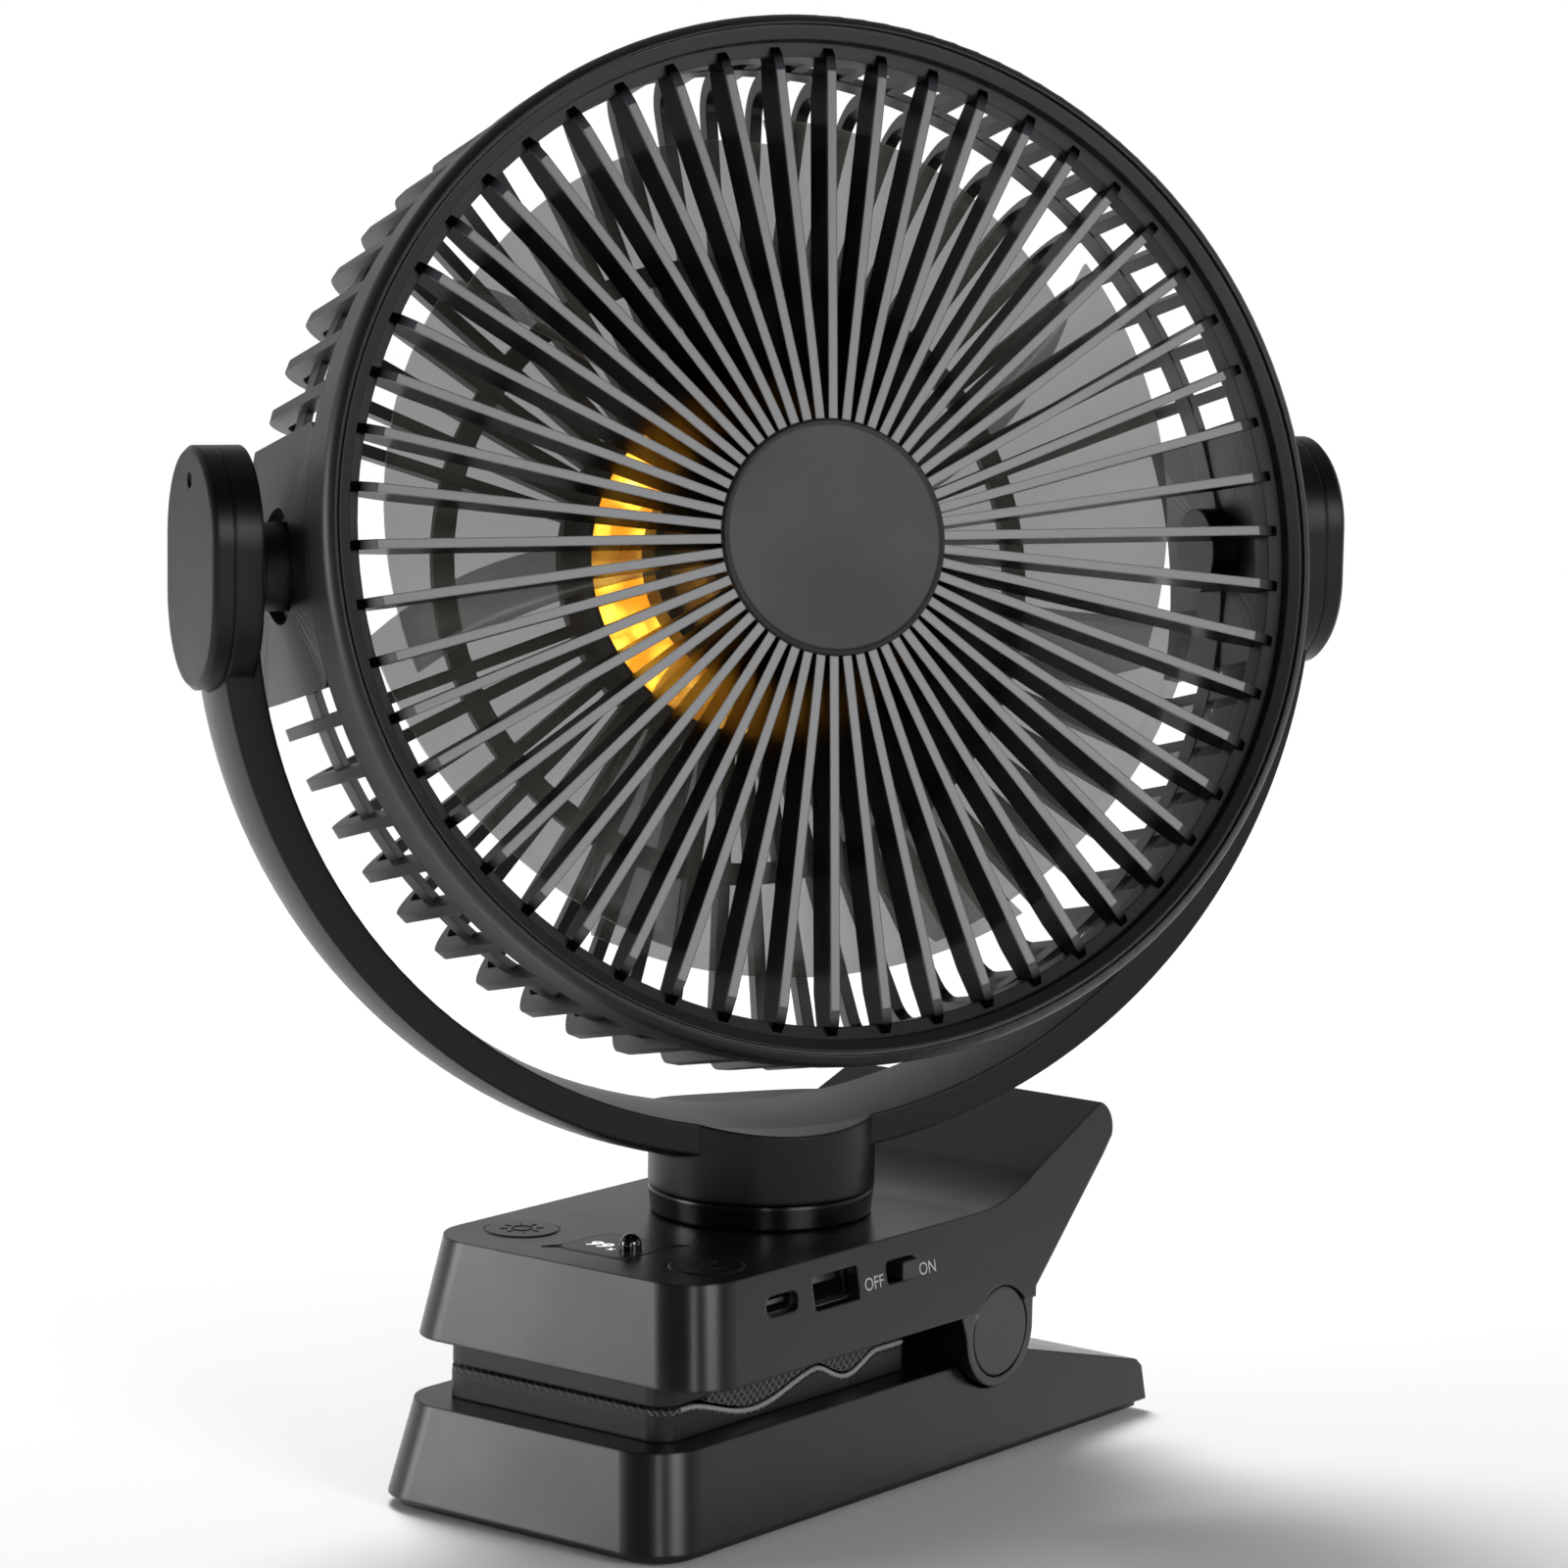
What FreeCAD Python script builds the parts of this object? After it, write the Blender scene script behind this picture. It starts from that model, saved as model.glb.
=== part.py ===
import FreeCAD, Part
import math
import os

# Portable camping fan with a battery clip base, in millimetres, +Z up.
# The base lies along Y with its buttons towards -Y, and the sockets face +X.
# The fan head is turned and tilted as it stands in the photograph.

os.makedirs("parts", exist_ok=True)
V = FreeCAD.Vector

# Placing of the whole fan: the origin is under the middle of its bounding box
NECK_X = -4.1
NECK_Y = 0.0
PIVOT_Z = 167.0
HEAD_TURN = 58.9
HEAD_TILT = 11.9

# Clip base: lower jaw
JAW_BOTTOM = 2.2
JAW_DECK = 19.2
JAW_HALF_BOTTOM = 34.5
JAW_HALF_DECK = 31.4
JAW_FRONT_BOTTOM = -69.0
JAW_FRONT_DECK = -65.6
JAW_TAIL_Y = 77.5
JAW_TAIL_Z = 9.6
JAW_WALL = 2.2
FOOT_RADIUS = 4.5
COVER_BOTTOM = 0.8

# Clip base: upper housing with the battery and the controls
UPPER_BOTTOM = 29.4
UPPER_TOP = 47.3
UPPER_HALF_BOTTOM = 34.9
UPPER_HALF_TOP = 32.0
UPPER_FRONT_BOTTOM = -60.6
UPPER_FRONT_TOP = -57.4
UPPER_WALL = 2.2
CORNER_RADIUS = 10.0
TAIL_TIP_Y = 69.0
TAIL_TIP_Z = 61.3
TAIL_SLOPE = 27.0

# Hinge of the clip, along X
HINGE_Y = 28.5
HINGE_Z = 24.6
HINGE_CAP_RADIUS = 8.6
HINGE_EAR_RADIUS = 10.3
HINGE_NOTCH_RADIUS = 10.9
HINGE_PIN_RADIUS = 2.5
EAR_INNER_X = 27.5
EAR_OUTER_X = 34.3

# Rubber pads between the jaws
PAD_HALF_WIDTH = 25.5
PAD_FRONT_Y = -58.5
PAD_BACK_Y = 4.0
PAD_GAP_Z = 25.0
PAD_GAP = 0.6
PAD_WAVE = 1.5
PAD_WAVE_LENGTH = 25.0

# Controls on the top and on the +X side of the upper housing
BUTTON_X = 21.2
BUTTON_Y = -42.3
BUTTON_RADIUS = 6.8
DISPLAY_Y = -41.5
DISPLAY_SIZE = (15.5, 14.5)
DOME_X = 3.4
DOME_RADIUS = 2.0
USB_A_Y = -20.1
USB_A_Z = 41.2
USB_A_SIZE = (13.2, 6.0)
USB_C_Y = -35.6
USB_C_SIZE = (9.2, 3.6)
SWITCH_Y = -1.0
SWITCH_SLOT = (8.6, 4.0)
SWITCH_TRAVEL = 3.0

# Neck and yoke
NECK_RING_TOP = 52.1
NECK_RADIUS = 20.8
COLLAR_TOP = 69.0
YOKE_INNER = 98.1
YOKE_OUTER = 103.4
YOKE_CROWN_IN = 0.5
YOKE_CROWN_OUT = 2.4
YOKE_DROP = 4.0
YOKE_HALF_DEPTH_LOW = 12.8
YOKE_HALF_DEPTH_HIGH = 9.5
YOKE_BAND_END = -12.0
KNOB_FACE_X = 107.4
KNOB_THICK = 3.9
KNOB_HEIGHT = 42.4
KNOB_WIDTH = 33.0
WASHER_RADIUS = 11.0
PIVOT_SHAFT_RADIUS = 7.8
PIVOT_SHAFT_ROOT = 84.5

# Fan head, measured from the pivot axis: forward is +Z in its own frame
RIM_RADIUS = 92.3
RIM_FRONT = 33.4
RIM_BACK = 23.5
SEAM_RADIUS = 90.0
LEDGE_RADIUS = 87.7
RIM_INNER = 85.3
VANE_COUNT = 54
VANE_FRONT = 31.0
VANE_BACK = 22.6
VANE_THICK = 1.7
HUB_RADIUS = 20.8
BAND_BACK = 10.5
BACK_FACE = -21.0
BACK_RADIUS = 89.4
BAND_RADIUS = 91.9
RIB_COUNT = 60
RIB_THICK = 2.2
RIB_DEPTH = 3.4
RIB_BEND = 7.0
MID_RING_RADIUS = 56.0
BLADE_COUNT = 7
BLADE_RADIUS = 76.0
SPINNER_RADIUS = 19.0
MOTOR_RADIUS = 21.0
LED_COUNT = 24
LED_RING = (22.5, 30.5)


def save(name, shape):
    """Write one sub-part to its own file."""
    shape.exportStep("parts/" + name + ".step")
    print(name, "volume", round(shape.Volume, 1), "solids", len(shape.Solids), shape.isValid())


def wire(points):
    """Closed wire from corner points; a pair of points in a list is an arc's middle and end."""
    edges, last = [], points[0]
    for step in list(points[1:]) + [points[0]]:
        if isinstance(step, list):
            edges.append(Part.Arc(V(*last), V(*step[0]), V(*step[1])).toShape())
            last = step[1]
        elif (V(*step) - V(*last)).Length > 1e-6:
            edges.append(Part.LineSegment(V(*last), V(*step)).toShape())
            last = step
    return Part.Wire(edges)


def prism(points, direction):
    return Part.Face(wire(points)).extrude(V(*direction))


def side_prism(points, x0, x1):
    """Extrude a (y, z) outline along X."""
    place = [[(x0, *p[0]), (x0, *p[1])] if isinstance(p, list) else (x0, *p) for p in points]
    return prism(place, (x1 - x0, 0, 0))


def turned(points):
    """Revolve an (r, z) outline about Z."""
    place = [[(p[0][0], 0, p[0][1]), (p[1][0], 0, p[1][1])] if isinstance(p, list)
             else (p[0], 0, p[1]) for p in points]
    return Part.Face(wire(place)).revolve(V(0, 0, 0), V(0, 0, 1), 360)


def ring(outer, inner, z0, z1):
    body = Part.makeCylinder(outer, z1 - z0, V(0, 0, z0))
    return body.cut(Part.makeCylinder(inner, z1 - z0 + 2, V(0, 0, z0 - 1))) if inner else body


def rounded_box(x0, x1, y0, y1, z0, z1, radius):
    """Upright box with rounded vertical corners."""
    k = radius * (1 - math.sqrt(0.5))
    outline = [(x0 + radius, y0, z0), (x1 - radius, y0, z0),
               [(x1 - k, y0 + k, z0), (x1, y0 + radius, z0)], (x1, y1 - radius, z0),
               [(x1 - k, y1 - k, z0), (x1 - radius, y1, z0)], (x0 + radius, y1, z0),
               [(x0 + k, y1 - k, z0), (x0, y1 - radius, z0)], (x0, y0 + radius, z0),
               [(x0 + k, y0 + k, z0), (x0 + radius, y0, z0)]]
    return prism(outline, (0, 0, z1 - z0))


def side_slot(y, z, length, height, x0, x1, radius):
    """Rounded rectangular block lying along X, for the openings of the side wall."""
    block = rounded_box(y - length / 2, y + length / 2, z - height / 2, z + height / 2, x0, x1, radius)
    block.rotate(V(0, 0, 0), V(1, 1, 1), 120)
    return block


def tub(half_low, front_low, half_high, front_high, z_low, z_high, back, radius):
    """Tapered body with two rounded front corners, open-ended towards the back."""
    wires = []
    for half, front, z in ((half_low, front_low, z_low), (half_high, front_high, z_high)):
        k = radius * (1 - math.sqrt(0.5))
        wires.append(wire([(-half, back, z), (-half, front + radius, z),
                           [(-half + k, front + k, z), (-half + radius, front, z)],
                           (half - radius, front, z),
                           [(half - k, front + k, z), (half, front + radius, z)],
                           (half, back, z)]))
    return Part.makeLoft(wires, True, True)


def at_neck(shape):
    """Move a base piece drawn about the neck axis to the neck's place."""
    moved = shape.copy()
    moved.translate(V(NECK_X, NECK_Y, 0))
    return moved


def at_yoke(shape):
    """Turn a piece drawn upright with the pivot on X and the front at -Y to the yoke's rest angle."""
    moved = shape.copy()
    moved.rotate(V(0, 0, 0), V(0, 0, 1), HEAD_TURN)
    moved.translate(V(NECK_X, NECK_Y, 0))
    return moved


def at_head(shape):
    """Place a piece drawn in the head's own frame: X pivot, Y up, Z forward."""
    moved = shape.copy()
    moved.rotate(V(0, 0, 0), V(1, 0, 0), 90 - HEAD_TILT)
    moved.rotate(V(0, 0, 0), V(0, 0, 1), HEAD_TURN)
    moved.translate(V(NECK_X, NECK_Y, PIVOT_Z))
    return moved


def around(shape, count, skip=()):
    """Copies of a shape turned about Z in equal steps."""
    copies = []
    for i in range(count):
        if i in skip:
            continue
        one = shape.copy()
        one.rotate(V(0, 0, 0), V(0, 0, 1), 360.0 * i / count)
        copies.append(one)
    return copies


def mirrored(shape):
    return shape.mirror(V(0, 0, 0), V(1, 0, 0))


# Lower jaw and its fittings

def jaw_profile():
    """Side outline of the lower jaw: flat deck, notch round the hinge, falling tail."""
    notch = HINGE_NOTCH_RADIUS
    dip = HINGE_Z - JAW_DECK
    half = math.sqrt(notch ** 2 - dip ** 2)
    return [(-90, JAW_BOTTOM), (-90, JAW_DECK), (HINGE_Y - half, JAW_DECK),
            [(HINGE_Y, HINGE_Z - notch), (HINGE_Y + half, JAW_DECK)],
            (JAW_TAIL_Y - 1.5, JAW_TAIL_Z + 0.4), (JAW_TAIL_Y, JAW_TAIL_Z - 1.1), (JAW_TAIL_Y, JAW_BOTTOM)]


def lower_jaw():
    slope = (JAW_HALF_BOTTOM - JAW_HALF_DECK) / (JAW_DECK - JAW_BOTTOM)
    high = JAW_DECK + 3.0
    body = tub(JAW_HALF_BOTTOM, JAW_FRONT_BOTTOM, JAW_HALF_DECK - 3 * slope, JAW_FRONT_DECK + 3 * slope,
               JAW_BOTTOM, high, 90, CORNER_RADIUS)
    body = body.common(side_prism(jaw_profile(), -60, 60))
    wall = JAW_WALL
    inside = tub(JAW_HALF_BOTTOM - wall, JAW_FRONT_BOTTOM + wall, JAW_HALF_DECK - wall, JAW_FRONT_DECK + wall,
                 JAW_BOTTOM - 1, JAW_DECK - wall, 14, CORNER_RADIUS - wall)
    body = body.cut(inside)
    tail = side_prism([(41, JAW_BOTTOM - 1), (41, 15.6), (JAW_TAIL_Y - 4, 7.2), (JAW_TAIL_Y - 4, JAW_BOTTOM - 1)],
                      -JAW_HALF_DECK + 4, JAW_HALF_DECK - 4)
    body = body.cut(tail)
    for x in (-22.0, 22.0):
        for y in (-52.0, -6.0):
            post = Part.makeCylinder(3.2, JAW_DECK - JAW_BOTTOM - 1.5, V(x, y, JAW_BOTTOM + 1.0))
            body = body.fuse(post.cut(Part.makeCylinder(1.2, 8, V(x, y, JAW_BOTTOM))))
    for side in (-1, 1):
        x0, x1 = (9.5, 26.8) if side > 0 else (-26.8, -9.5)
        barrel = Part.makeCylinder(8.2, x1 - x0, V(x0, HINGE_Y, HINGE_Z), V(1, 0, 0))
        web = side_prism([(HINGE_Y - 8.2, 12.5), (HINGE_Y - 8.2, HINGE_Z), (HINGE_Y + 8.2, HINGE_Z),
                          (HINGE_Y + 8.2, 12.5)], x0, x1)
        body = body.fuse(barrel.fuse(web))
    bore = Part.makeCylinder(HINGE_PIN_RADIUS, 60, V(-30, HINGE_Y, HINGE_Z), V(1, 0, 0))
    return body.cut(bore).removeSplitter()


def bottom_cover():
    inset = 1.6
    plate = tub(JAW_HALF_BOTTOM - inset, JAW_FRONT_BOTTOM + inset, JAW_HALF_BOTTOM - inset,
                JAW_FRONT_BOTTOM + inset, COVER_BOTTOM, JAW_BOTTOM, JAW_TAIL_Y - 1.5, CORNER_RADIUS - inset)
    for x in (-22.0, 22.0):
        for y in (-52.0, -6.0):
            plate = plate.cut(Part.makeCylinder(1.3, 4, V(x, y, 0)))
    return plate


def foot_places():
    return [(x, y) for x in (-27.0, 27.0) for y in (-57.0, 69.0)]


def rubber_feet():
    feet = []
    for x, y in foot_places():
        foot = turned([(0, 0), (FOOT_RADIUS - 0.4, 0), (FOOT_RADIUS, 0.4), (FOOT_RADIUS, COVER_BOTTOM),
                       (0, COVER_BOTTOM)])
        foot.translate(V(x, y, 0))
        feet.append(foot)
    return Part.makeCompound(feet)


def cover_screws():
    screws = []
    for x in (-22.0, 22.0):
        for y in (-52.0, -6.0):
            shank = Part.makeCylinder(1.2, 8, V(x, y, JAW_BOTTOM))
            screws.append(shank.fuse(Part.makeCylinder(1.2, JAW_BOTTOM - COVER_BOTTOM, V(x, y, COVER_BOTTOM))))
    return Part.makeCompound([s.removeSplitter() for s in screws])


def pad_wave(offset):
    """Points of the wavy meeting line of the pads, from front to back."""
    points = []
    count = int((PAD_BACK_Y - PAD_FRONT_Y) / (PAD_WAVE_LENGTH / 2))
    for i in range(count):
        y = PAD_FRONT_Y + (i + 0.5) * PAD_WAVE_LENGTH / 2
        lift = PAD_WAVE if i % 2 else -PAD_WAVE
        points.append([(y, PAD_GAP_Z + offset + lift), (y + PAD_WAVE_LENGTH / 4, PAD_GAP_Z + offset)])
    return points


def pad_block(z_edge, offset):
    last = pad_wave(offset)[-1][1][0]
    outline = [(PAD_FRONT_Y, z_edge), (PAD_FRONT_Y, PAD_GAP_Z + offset)] + pad_wave(offset)
    outline += [(PAD_BACK_Y + 6, PAD_GAP_Z + offset)] if last < PAD_BACK_Y + 6 else []
    outline += [(PAD_BACK_Y + 6, z_edge)]
    return side_prism(outline, -PAD_HALF_WIDTH, PAD_HALF_WIDTH)


def lower_carrier():
    return rounded_box(-24.5, 24.5, PAD_FRONT_Y + 0.8, PAD_BACK_Y + 5, JAW_DECK, 21.6, 2.0)


def lower_pad():
    return pad_block(21.6, 0.0)


def hinge_pin():
    return Part.makeCylinder(HINGE_PIN_RADIUS, 61, V(-30.5, HINGE_Y, HINGE_Z), V(1, 0, 0))


def torsion_spring():
    """Closed coils round the pin, as one sleeve of turns."""
    coil = Part.makeCylinder(6.0, 17, V(-8.5, HINGE_Y, HINGE_Z), V(1, 0, 0))
    coil = coil.cut(Part.makeCylinder(4.2, 19, V(-9.5, HINGE_Y, HINGE_Z), V(1, 0, 0)))
    return coil


# Upper housing and what it holds

def upper_profile():
    """Side outline of the upper housing, with its ear at the hinge and its raised tail."""
    ear = HINGE_EAR_RADIUS
    slope = math.radians(TAIL_SLOPE)
    bend = 42.0
    bend_end = (24.0 + bend * math.sin(slope), UPPER_TOP + bend * (1 - math.cos(slope)))
    bend_mid = (24.0 + bend * math.sin(slope / 2), UPPER_TOP + bend * (1 - math.cos(slope / 2)))
    tip = (TAIL_TIP_Y - 2.4, TAIL_TIP_Z)
    return [(-90, UPPER_BOTTOM), (-90, UPPER_TOP), (24.0, UPPER_TOP), [bend_mid, bend_end], tip,
            [(TAIL_TIP_Y + 0.4, TAIL_TIP_Z - 2.6), (TAIL_TIP_Y, TAIL_TIP_Z - 6.6)],
            (TAIL_TIP_Y - 3.4, TAIL_TIP_Z - 9.6), (HINGE_Y + ear + 0.6, HINGE_Z + 6.6),
            (HINGE_Y + ear, HINGE_Z + 4.0), (HINGE_Y + ear, HINGE_Z),
            [(HINGE_Y, HINGE_Z - ear), (HINGE_Y - ear, HINGE_Z)], (HINGE_Y - ear - 1.8, UPPER_BOTTOM)]


def upper_housing():
    slope = (UPPER_HALF_BOTTOM - UPPER_HALF_TOP) / (UPPER_TOP - UPPER_BOTTOM)
    low, high = UPPER_BOTTOM - 18.0, UPPER_TOP + 18.0
    body = tub(UPPER_HALF_BOTTOM + 18 * slope, UPPER_FRONT_BOTTOM - 18 * slope,
               UPPER_HALF_TOP - 18 * slope, UPPER_FRONT_TOP + 18 * slope, low, high, 90, CORNER_RADIUS)
    body = body.common(side_prism(upper_profile(), -60, 60))
    ears = Part.makeBox(2 * EAR_OUTER_X, 60, 16, V(-EAR_OUTER_X, 0, UPPER_BOTTOM - 16))
    low_part = body.common(Part.makeBox(200, 300, 40, V(-100, -150, UPPER_BOTTOM - 40)))
    body = body.cut(low_part).fuse(low_part.common(ears))
    wall = UPPER_WALL
    inside = tub(UPPER_HALF_BOTTOM - wall, UPPER_FRONT_BOTTOM + wall, UPPER_HALF_TOP - wall,
                 UPPER_FRONT_TOP + wall, UPPER_BOTTOM - 1, UPPER_TOP - wall, 14, CORNER_RADIUS - wall)
    body = body.cut(inside)
    knuckle = Part.makeCylinder(10.9, 2 * EAR_INNER_X, V(-EAR_INNER_X, HINGE_Y, HINGE_Z), V(1, 0, 0))
    below = Part.makeBox(2 * EAR_INNER_X, 60, 24, V(-EAR_INNER_X, 0, UPPER_BOTTOM - 24))
    body = body.cut(knuckle.fuse(below))
    for side in (-1, 1):
        start = V(side * EAR_INNER_X - side, HINGE_Y, HINGE_Z)
        body = body.cut(Part.makeCylinder(HINGE_PIN_RADIUS + 0.06, 5.2, start, V(side, 0, 0)))
        recess = V(side * (EAR_OUTER_X - 1.6), HINGE_Y, HINGE_Z)
        body = body.cut(Part.makeCylinder(HINGE_CAP_RADIUS, 4, recess, V(side, 0, 0)))
    for x in (-BUTTON_X, BUTTON_X):
        body = body.cut(Part.makeCylinder(BUTTON_RADIUS + 0.1, 6, V(x, BUTTON_Y, UPPER_TOP - 4)))
    width, length = DISPLAY_SIZE
    body = body.cut(rounded_box(-width / 2, width / 2, DISPLAY_Y - length / 2, DISPLAY_Y + length / 2,
                                UPPER_TOP - 4, UPPER_TOP + 1, 2.5))
    body = body.cut(side_slot(USB_A_Y, USB_A_Z, USB_A_SIZE[0], USB_A_SIZE[1], 20, 40, 0.8))
    body = body.cut(side_slot(USB_C_Y, USB_A_Z, USB_C_SIZE[0], USB_C_SIZE[1], 20, 40, 1.7))
    body = body.cut(side_slot(SWITCH_Y, USB_A_Z, SWITCH_SLOT[0], SWITCH_SLOT[1], 20, 40, 0.9))
    body = body.cut(Part.makeCylinder(9.0, 8, V(0, 0, UPPER_TOP - 5)))
    return body.removeSplitter()


def jaw_plate():
    """Plate that closes the upper housing from below and carries its pad."""
    inset = UPPER_WALL + 0.35
    low, top = UPPER_BOTTOM, UPPER_BOTTOM + 2.0
    slope = (UPPER_HALF_BOTTOM - UPPER_HALF_TOP) / (UPPER_TOP - UPPER_BOTTOM)
    plate = tub(UPPER_HALF_BOTTOM - inset, UPPER_FRONT_BOTTOM + inset, UPPER_HALF_BOTTOM - inset - 2 * slope,
                UPPER_FRONT_BOTTOM + inset + 2 * slope, low, top, 13.9, CORNER_RADIUS - inset)
    return plate


def upper_carrier():
    return rounded_box(-24.7, 24.7, PAD_FRONT_Y + 0.8, PAD_BACK_Y + 5, 28.0, UPPER_BOTTOM, 2.0)


def upper_pad():
    return pad_block(28.0, PAD_GAP)


def battery_pack():
    cells = [rounded_box(x, x + 23.0, -8.0, 12.5, UPPER_BOTTOM + 2.0, UPPER_BOTTOM + 8.6, 2.5)
             for x in (-27.0, -3.5)]
    return Part.makeCompound(cells)


def control_board():
    board = rounded_box(-29.0, 29.0, -55.0, -9.5, 36.2, 37.8, 3.0)
    board = board.fuse(Part.makeBox(8.5, 18.0, 1.6, V(20.5, -13.5, 36.2)))
    posts = [Part.makeCylinder(2.6, 36.2 - UPPER_BOTTOM - 2.0, V(x, y, UPPER_BOTTOM + 2.0))
             for x in (-23.0, 23.0) for y in (-50.0, -14.0)]
    for post in posts:
        board = board.fuse(post)
    return board


def usb_a_socket():
    y, z = USB_A_Y, USB_A_Z
    shell = side_slot(y, z, USB_A_SIZE[0] + 0.8, USB_A_SIZE[1] + 0.8, 18.4, 29.6, 0.8)
    shell = shell.cut(side_slot(y, z, USB_A_SIZE[0] - 0.7, USB_A_SIZE[1] - 0.9, 19.2, 31, 0.5))
    tongue = Part.makeBox(9.6, 11.0, 1.9, V(18.8, y - 5.5, z + 0.2))
    return shell.fuse(tongue).removeSplitter()


def usb_c_socket():
    y, z = USB_C_Y, USB_A_Z
    shell = side_slot(y, z, USB_C_SIZE[0] - 0.1, USB_C_SIZE[1] - 0.1, 24.4, 31.6, 1.65)
    shell = shell.cut(side_slot(y, z, USB_C_SIZE[0] - 0.8, USB_C_SIZE[1] - 0.8, 25.2, 33, 1.3))
    tongue = Part.makeBox(5.8, 6.6, 0.8, V(24.8, y - 3.3, z - 0.4))
    base = Part.makeBox(5.2, 7.0, z - 37.8 - 1.6, V(24.6, y - 3.5, 37.8))
    return shell.fuse([tongue, base]).removeSplitter()


def switch_body():
    return Part.makeBox(6.0, 11.0, 6.4, V(22.0, SWITCH_Y - 5.5, 37.8))


def switch_slider():
    end = SWITCH_Y + SWITCH_SLOT[0] / 2 - 0.3
    length = SWITCH_SLOT[0] - 0.6 - SWITCH_TRAVEL
    knob = rounded_box(end - length, end, USB_A_Z - 1.7, USB_A_Z + 1.7, 28.3, 34.2, 0.6)
    knob.rotate(V(0, 0, 0), V(1, 1, 1), 120)
    return knob


def button(x):
    cap = turned([(0, UPPER_TOP - 3.2), (BUTTON_RADIUS + 0.7, UPPER_TOP - 3.2),
                  (BUTTON_RADIUS + 0.7, UPPER_TOP - 2.3), (BUTTON_RADIUS, UPPER_TOP - 2.3),
                  (BUTTON_RADIUS, UPPER_TOP - 0.1), (BUTTON_RADIUS - 0.3, UPPER_TOP + 0.2), (0, UPPER_TOP + 0.2)])
    cap.translate(V(x, BUTTON_Y, 0))
    return cap


def button_switches():
    blocks = [Part.makeBox(6, 6, UPPER_TOP - 4.1 - 37.8, V(x - 3, BUTTON_Y - 3, 37.8))
              for x in (-BUTTON_X, BUTTON_X)]
    return Part.makeCompound(blocks)


def display_window():
    width, length = DISPLAY_SIZE
    glass = rounded_box(-width / 2, width / 2, DISPLAY_Y - length / 2, DISPLAY_Y + length / 2,
                        UPPER_TOP - 1.5, UPPER_TOP + 0.1, 2.5)
    return glass.cut(Part.makeCylinder(DOME_RADIUS, 4, V(DOME_X, DISPLAY_Y, UPPER_TOP - 2)))


def display_module():
    width, length = DISPLAY_SIZE
    return Part.makeBox(width - 3, length - 3, UPPER_TOP - 1.5 - 37.8, V(1.5 - width / 2, DISPLAY_Y - length / 2 + 1.5,
                                                                       37.8))


def receiver_dome():
    ball = Part.makeSphere(DOME_RADIUS, V(DOME_X, DISPLAY_Y, UPPER_TOP + 0.9))
    stem = Part.makeCylinder(DOME_RADIUS, 2.4, V(DOME_X, DISPLAY_Y, UPPER_TOP - 1.5))
    return ball.fuse(stem).removeSplitter()


def hinge_caps():
    caps = []
    for side in (-1, 1):
        cap = turned([(0, 0), (HINGE_CAP_RADIUS - 0.05, 0), (HINGE_CAP_RADIUS - 0.05, 1.2),
                      (HINGE_CAP_RADIUS - 0.5, 1.6), (0, 1.6)])
        cap.rotate(V(0, 0, 0), V(0, 1, 0), 90 * side)
        cap.translate(V(side * (EAR_OUTER_X - 1.6), HINGE_Y, HINGE_Z))
        caps.append(cap)
    return Part.makeCompound(caps)


# Neck, yoke and pivots

def neck_ring():
    return turned([(7.2, UPPER_TOP), (NECK_RADIUS - 0.9, UPPER_TOP), (NECK_RADIUS - 0.5, UPPER_TOP + 0.5),
                   (NECK_RADIUS - 0.1, NECK_RING_TOP - 0.4), (NECK_RADIUS - 0.4, NECK_RING_TOP),
                   (7.2, NECK_RING_TOP)])


def barrel(radius, crown, half_depth):
    """Disc square to Y about the middle of the yoke's arc, its rim crowned between the band's edges."""
    edge = YOKE_HALF_DEPTH_LOW
    body = turned([(0, -half_depth), (radius, -half_depth), (radius, -edge), [(radius + crown, 0), (radius, edge)],
                   (radius, half_depth), (0, half_depth)])
    body.rotate(V(0, 0, 0), V(1, 0, 0), 90)
    body.translate(V(0, 0, PIVOT_Z - YOKE_DROP))
    return body


def yoke():
    """C-shaped band that carries the head, with its neck collar and two oval ends."""
    gap = NECK_RING_TOP + 0.3
    low, high = YOKE_HALF_DEPTH_LOW, YOKE_HALF_DEPTH_HIGH
    inside = barrel(YOKE_INNER, -YOKE_CROWN_IN, 30)
    z_low, z_end = PIVOT_Z - YOKE_OUTER - 10, PIVOT_Z + YOKE_BAND_END
    band = barrel(YOKE_OUTER, YOKE_CROWN_OUT, low + 1).cut(inside)
    band = band.common(side_prism([(-low, z_low), (-high, z_end), (high, z_end), (low, z_low)], -150, 150))
    collar = Part.makeCylinder(NECK_RADIUS, COLLAR_TOP - gap, V(0, 0, gap))
    body = band.fuse(collar.cut(inside))
    for side in (-1, 1):
        body = body.fuse(oval_block(side, KNOB_FACE_X - KNOB_THICK - 5.0, KNOB_FACE_X - KNOB_THICK))
        body = body.cut(oval_block(side, KNOB_FACE_X - KNOB_THICK, KNOB_FACE_X + 2))
    for side in (-1, 1):
        start = V(side * (KNOB_FACE_X - KNOB_THICK - 8), 0, PIVOT_Z)
        body = body.cut(Part.makeCylinder(PIVOT_SHAFT_RADIUS + 0.05, 6.4, start, V(side, 0, 0)))
    body = body.cut(Part.makeCylinder(7.25, COLLAR_TOP - gap + 30, V(0, 0, gap - 1)).common(
        Part.makeBox(40, 40, 6.0, V(-20, -20, gap - 1))))
    return body.removeSplitter()


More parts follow.
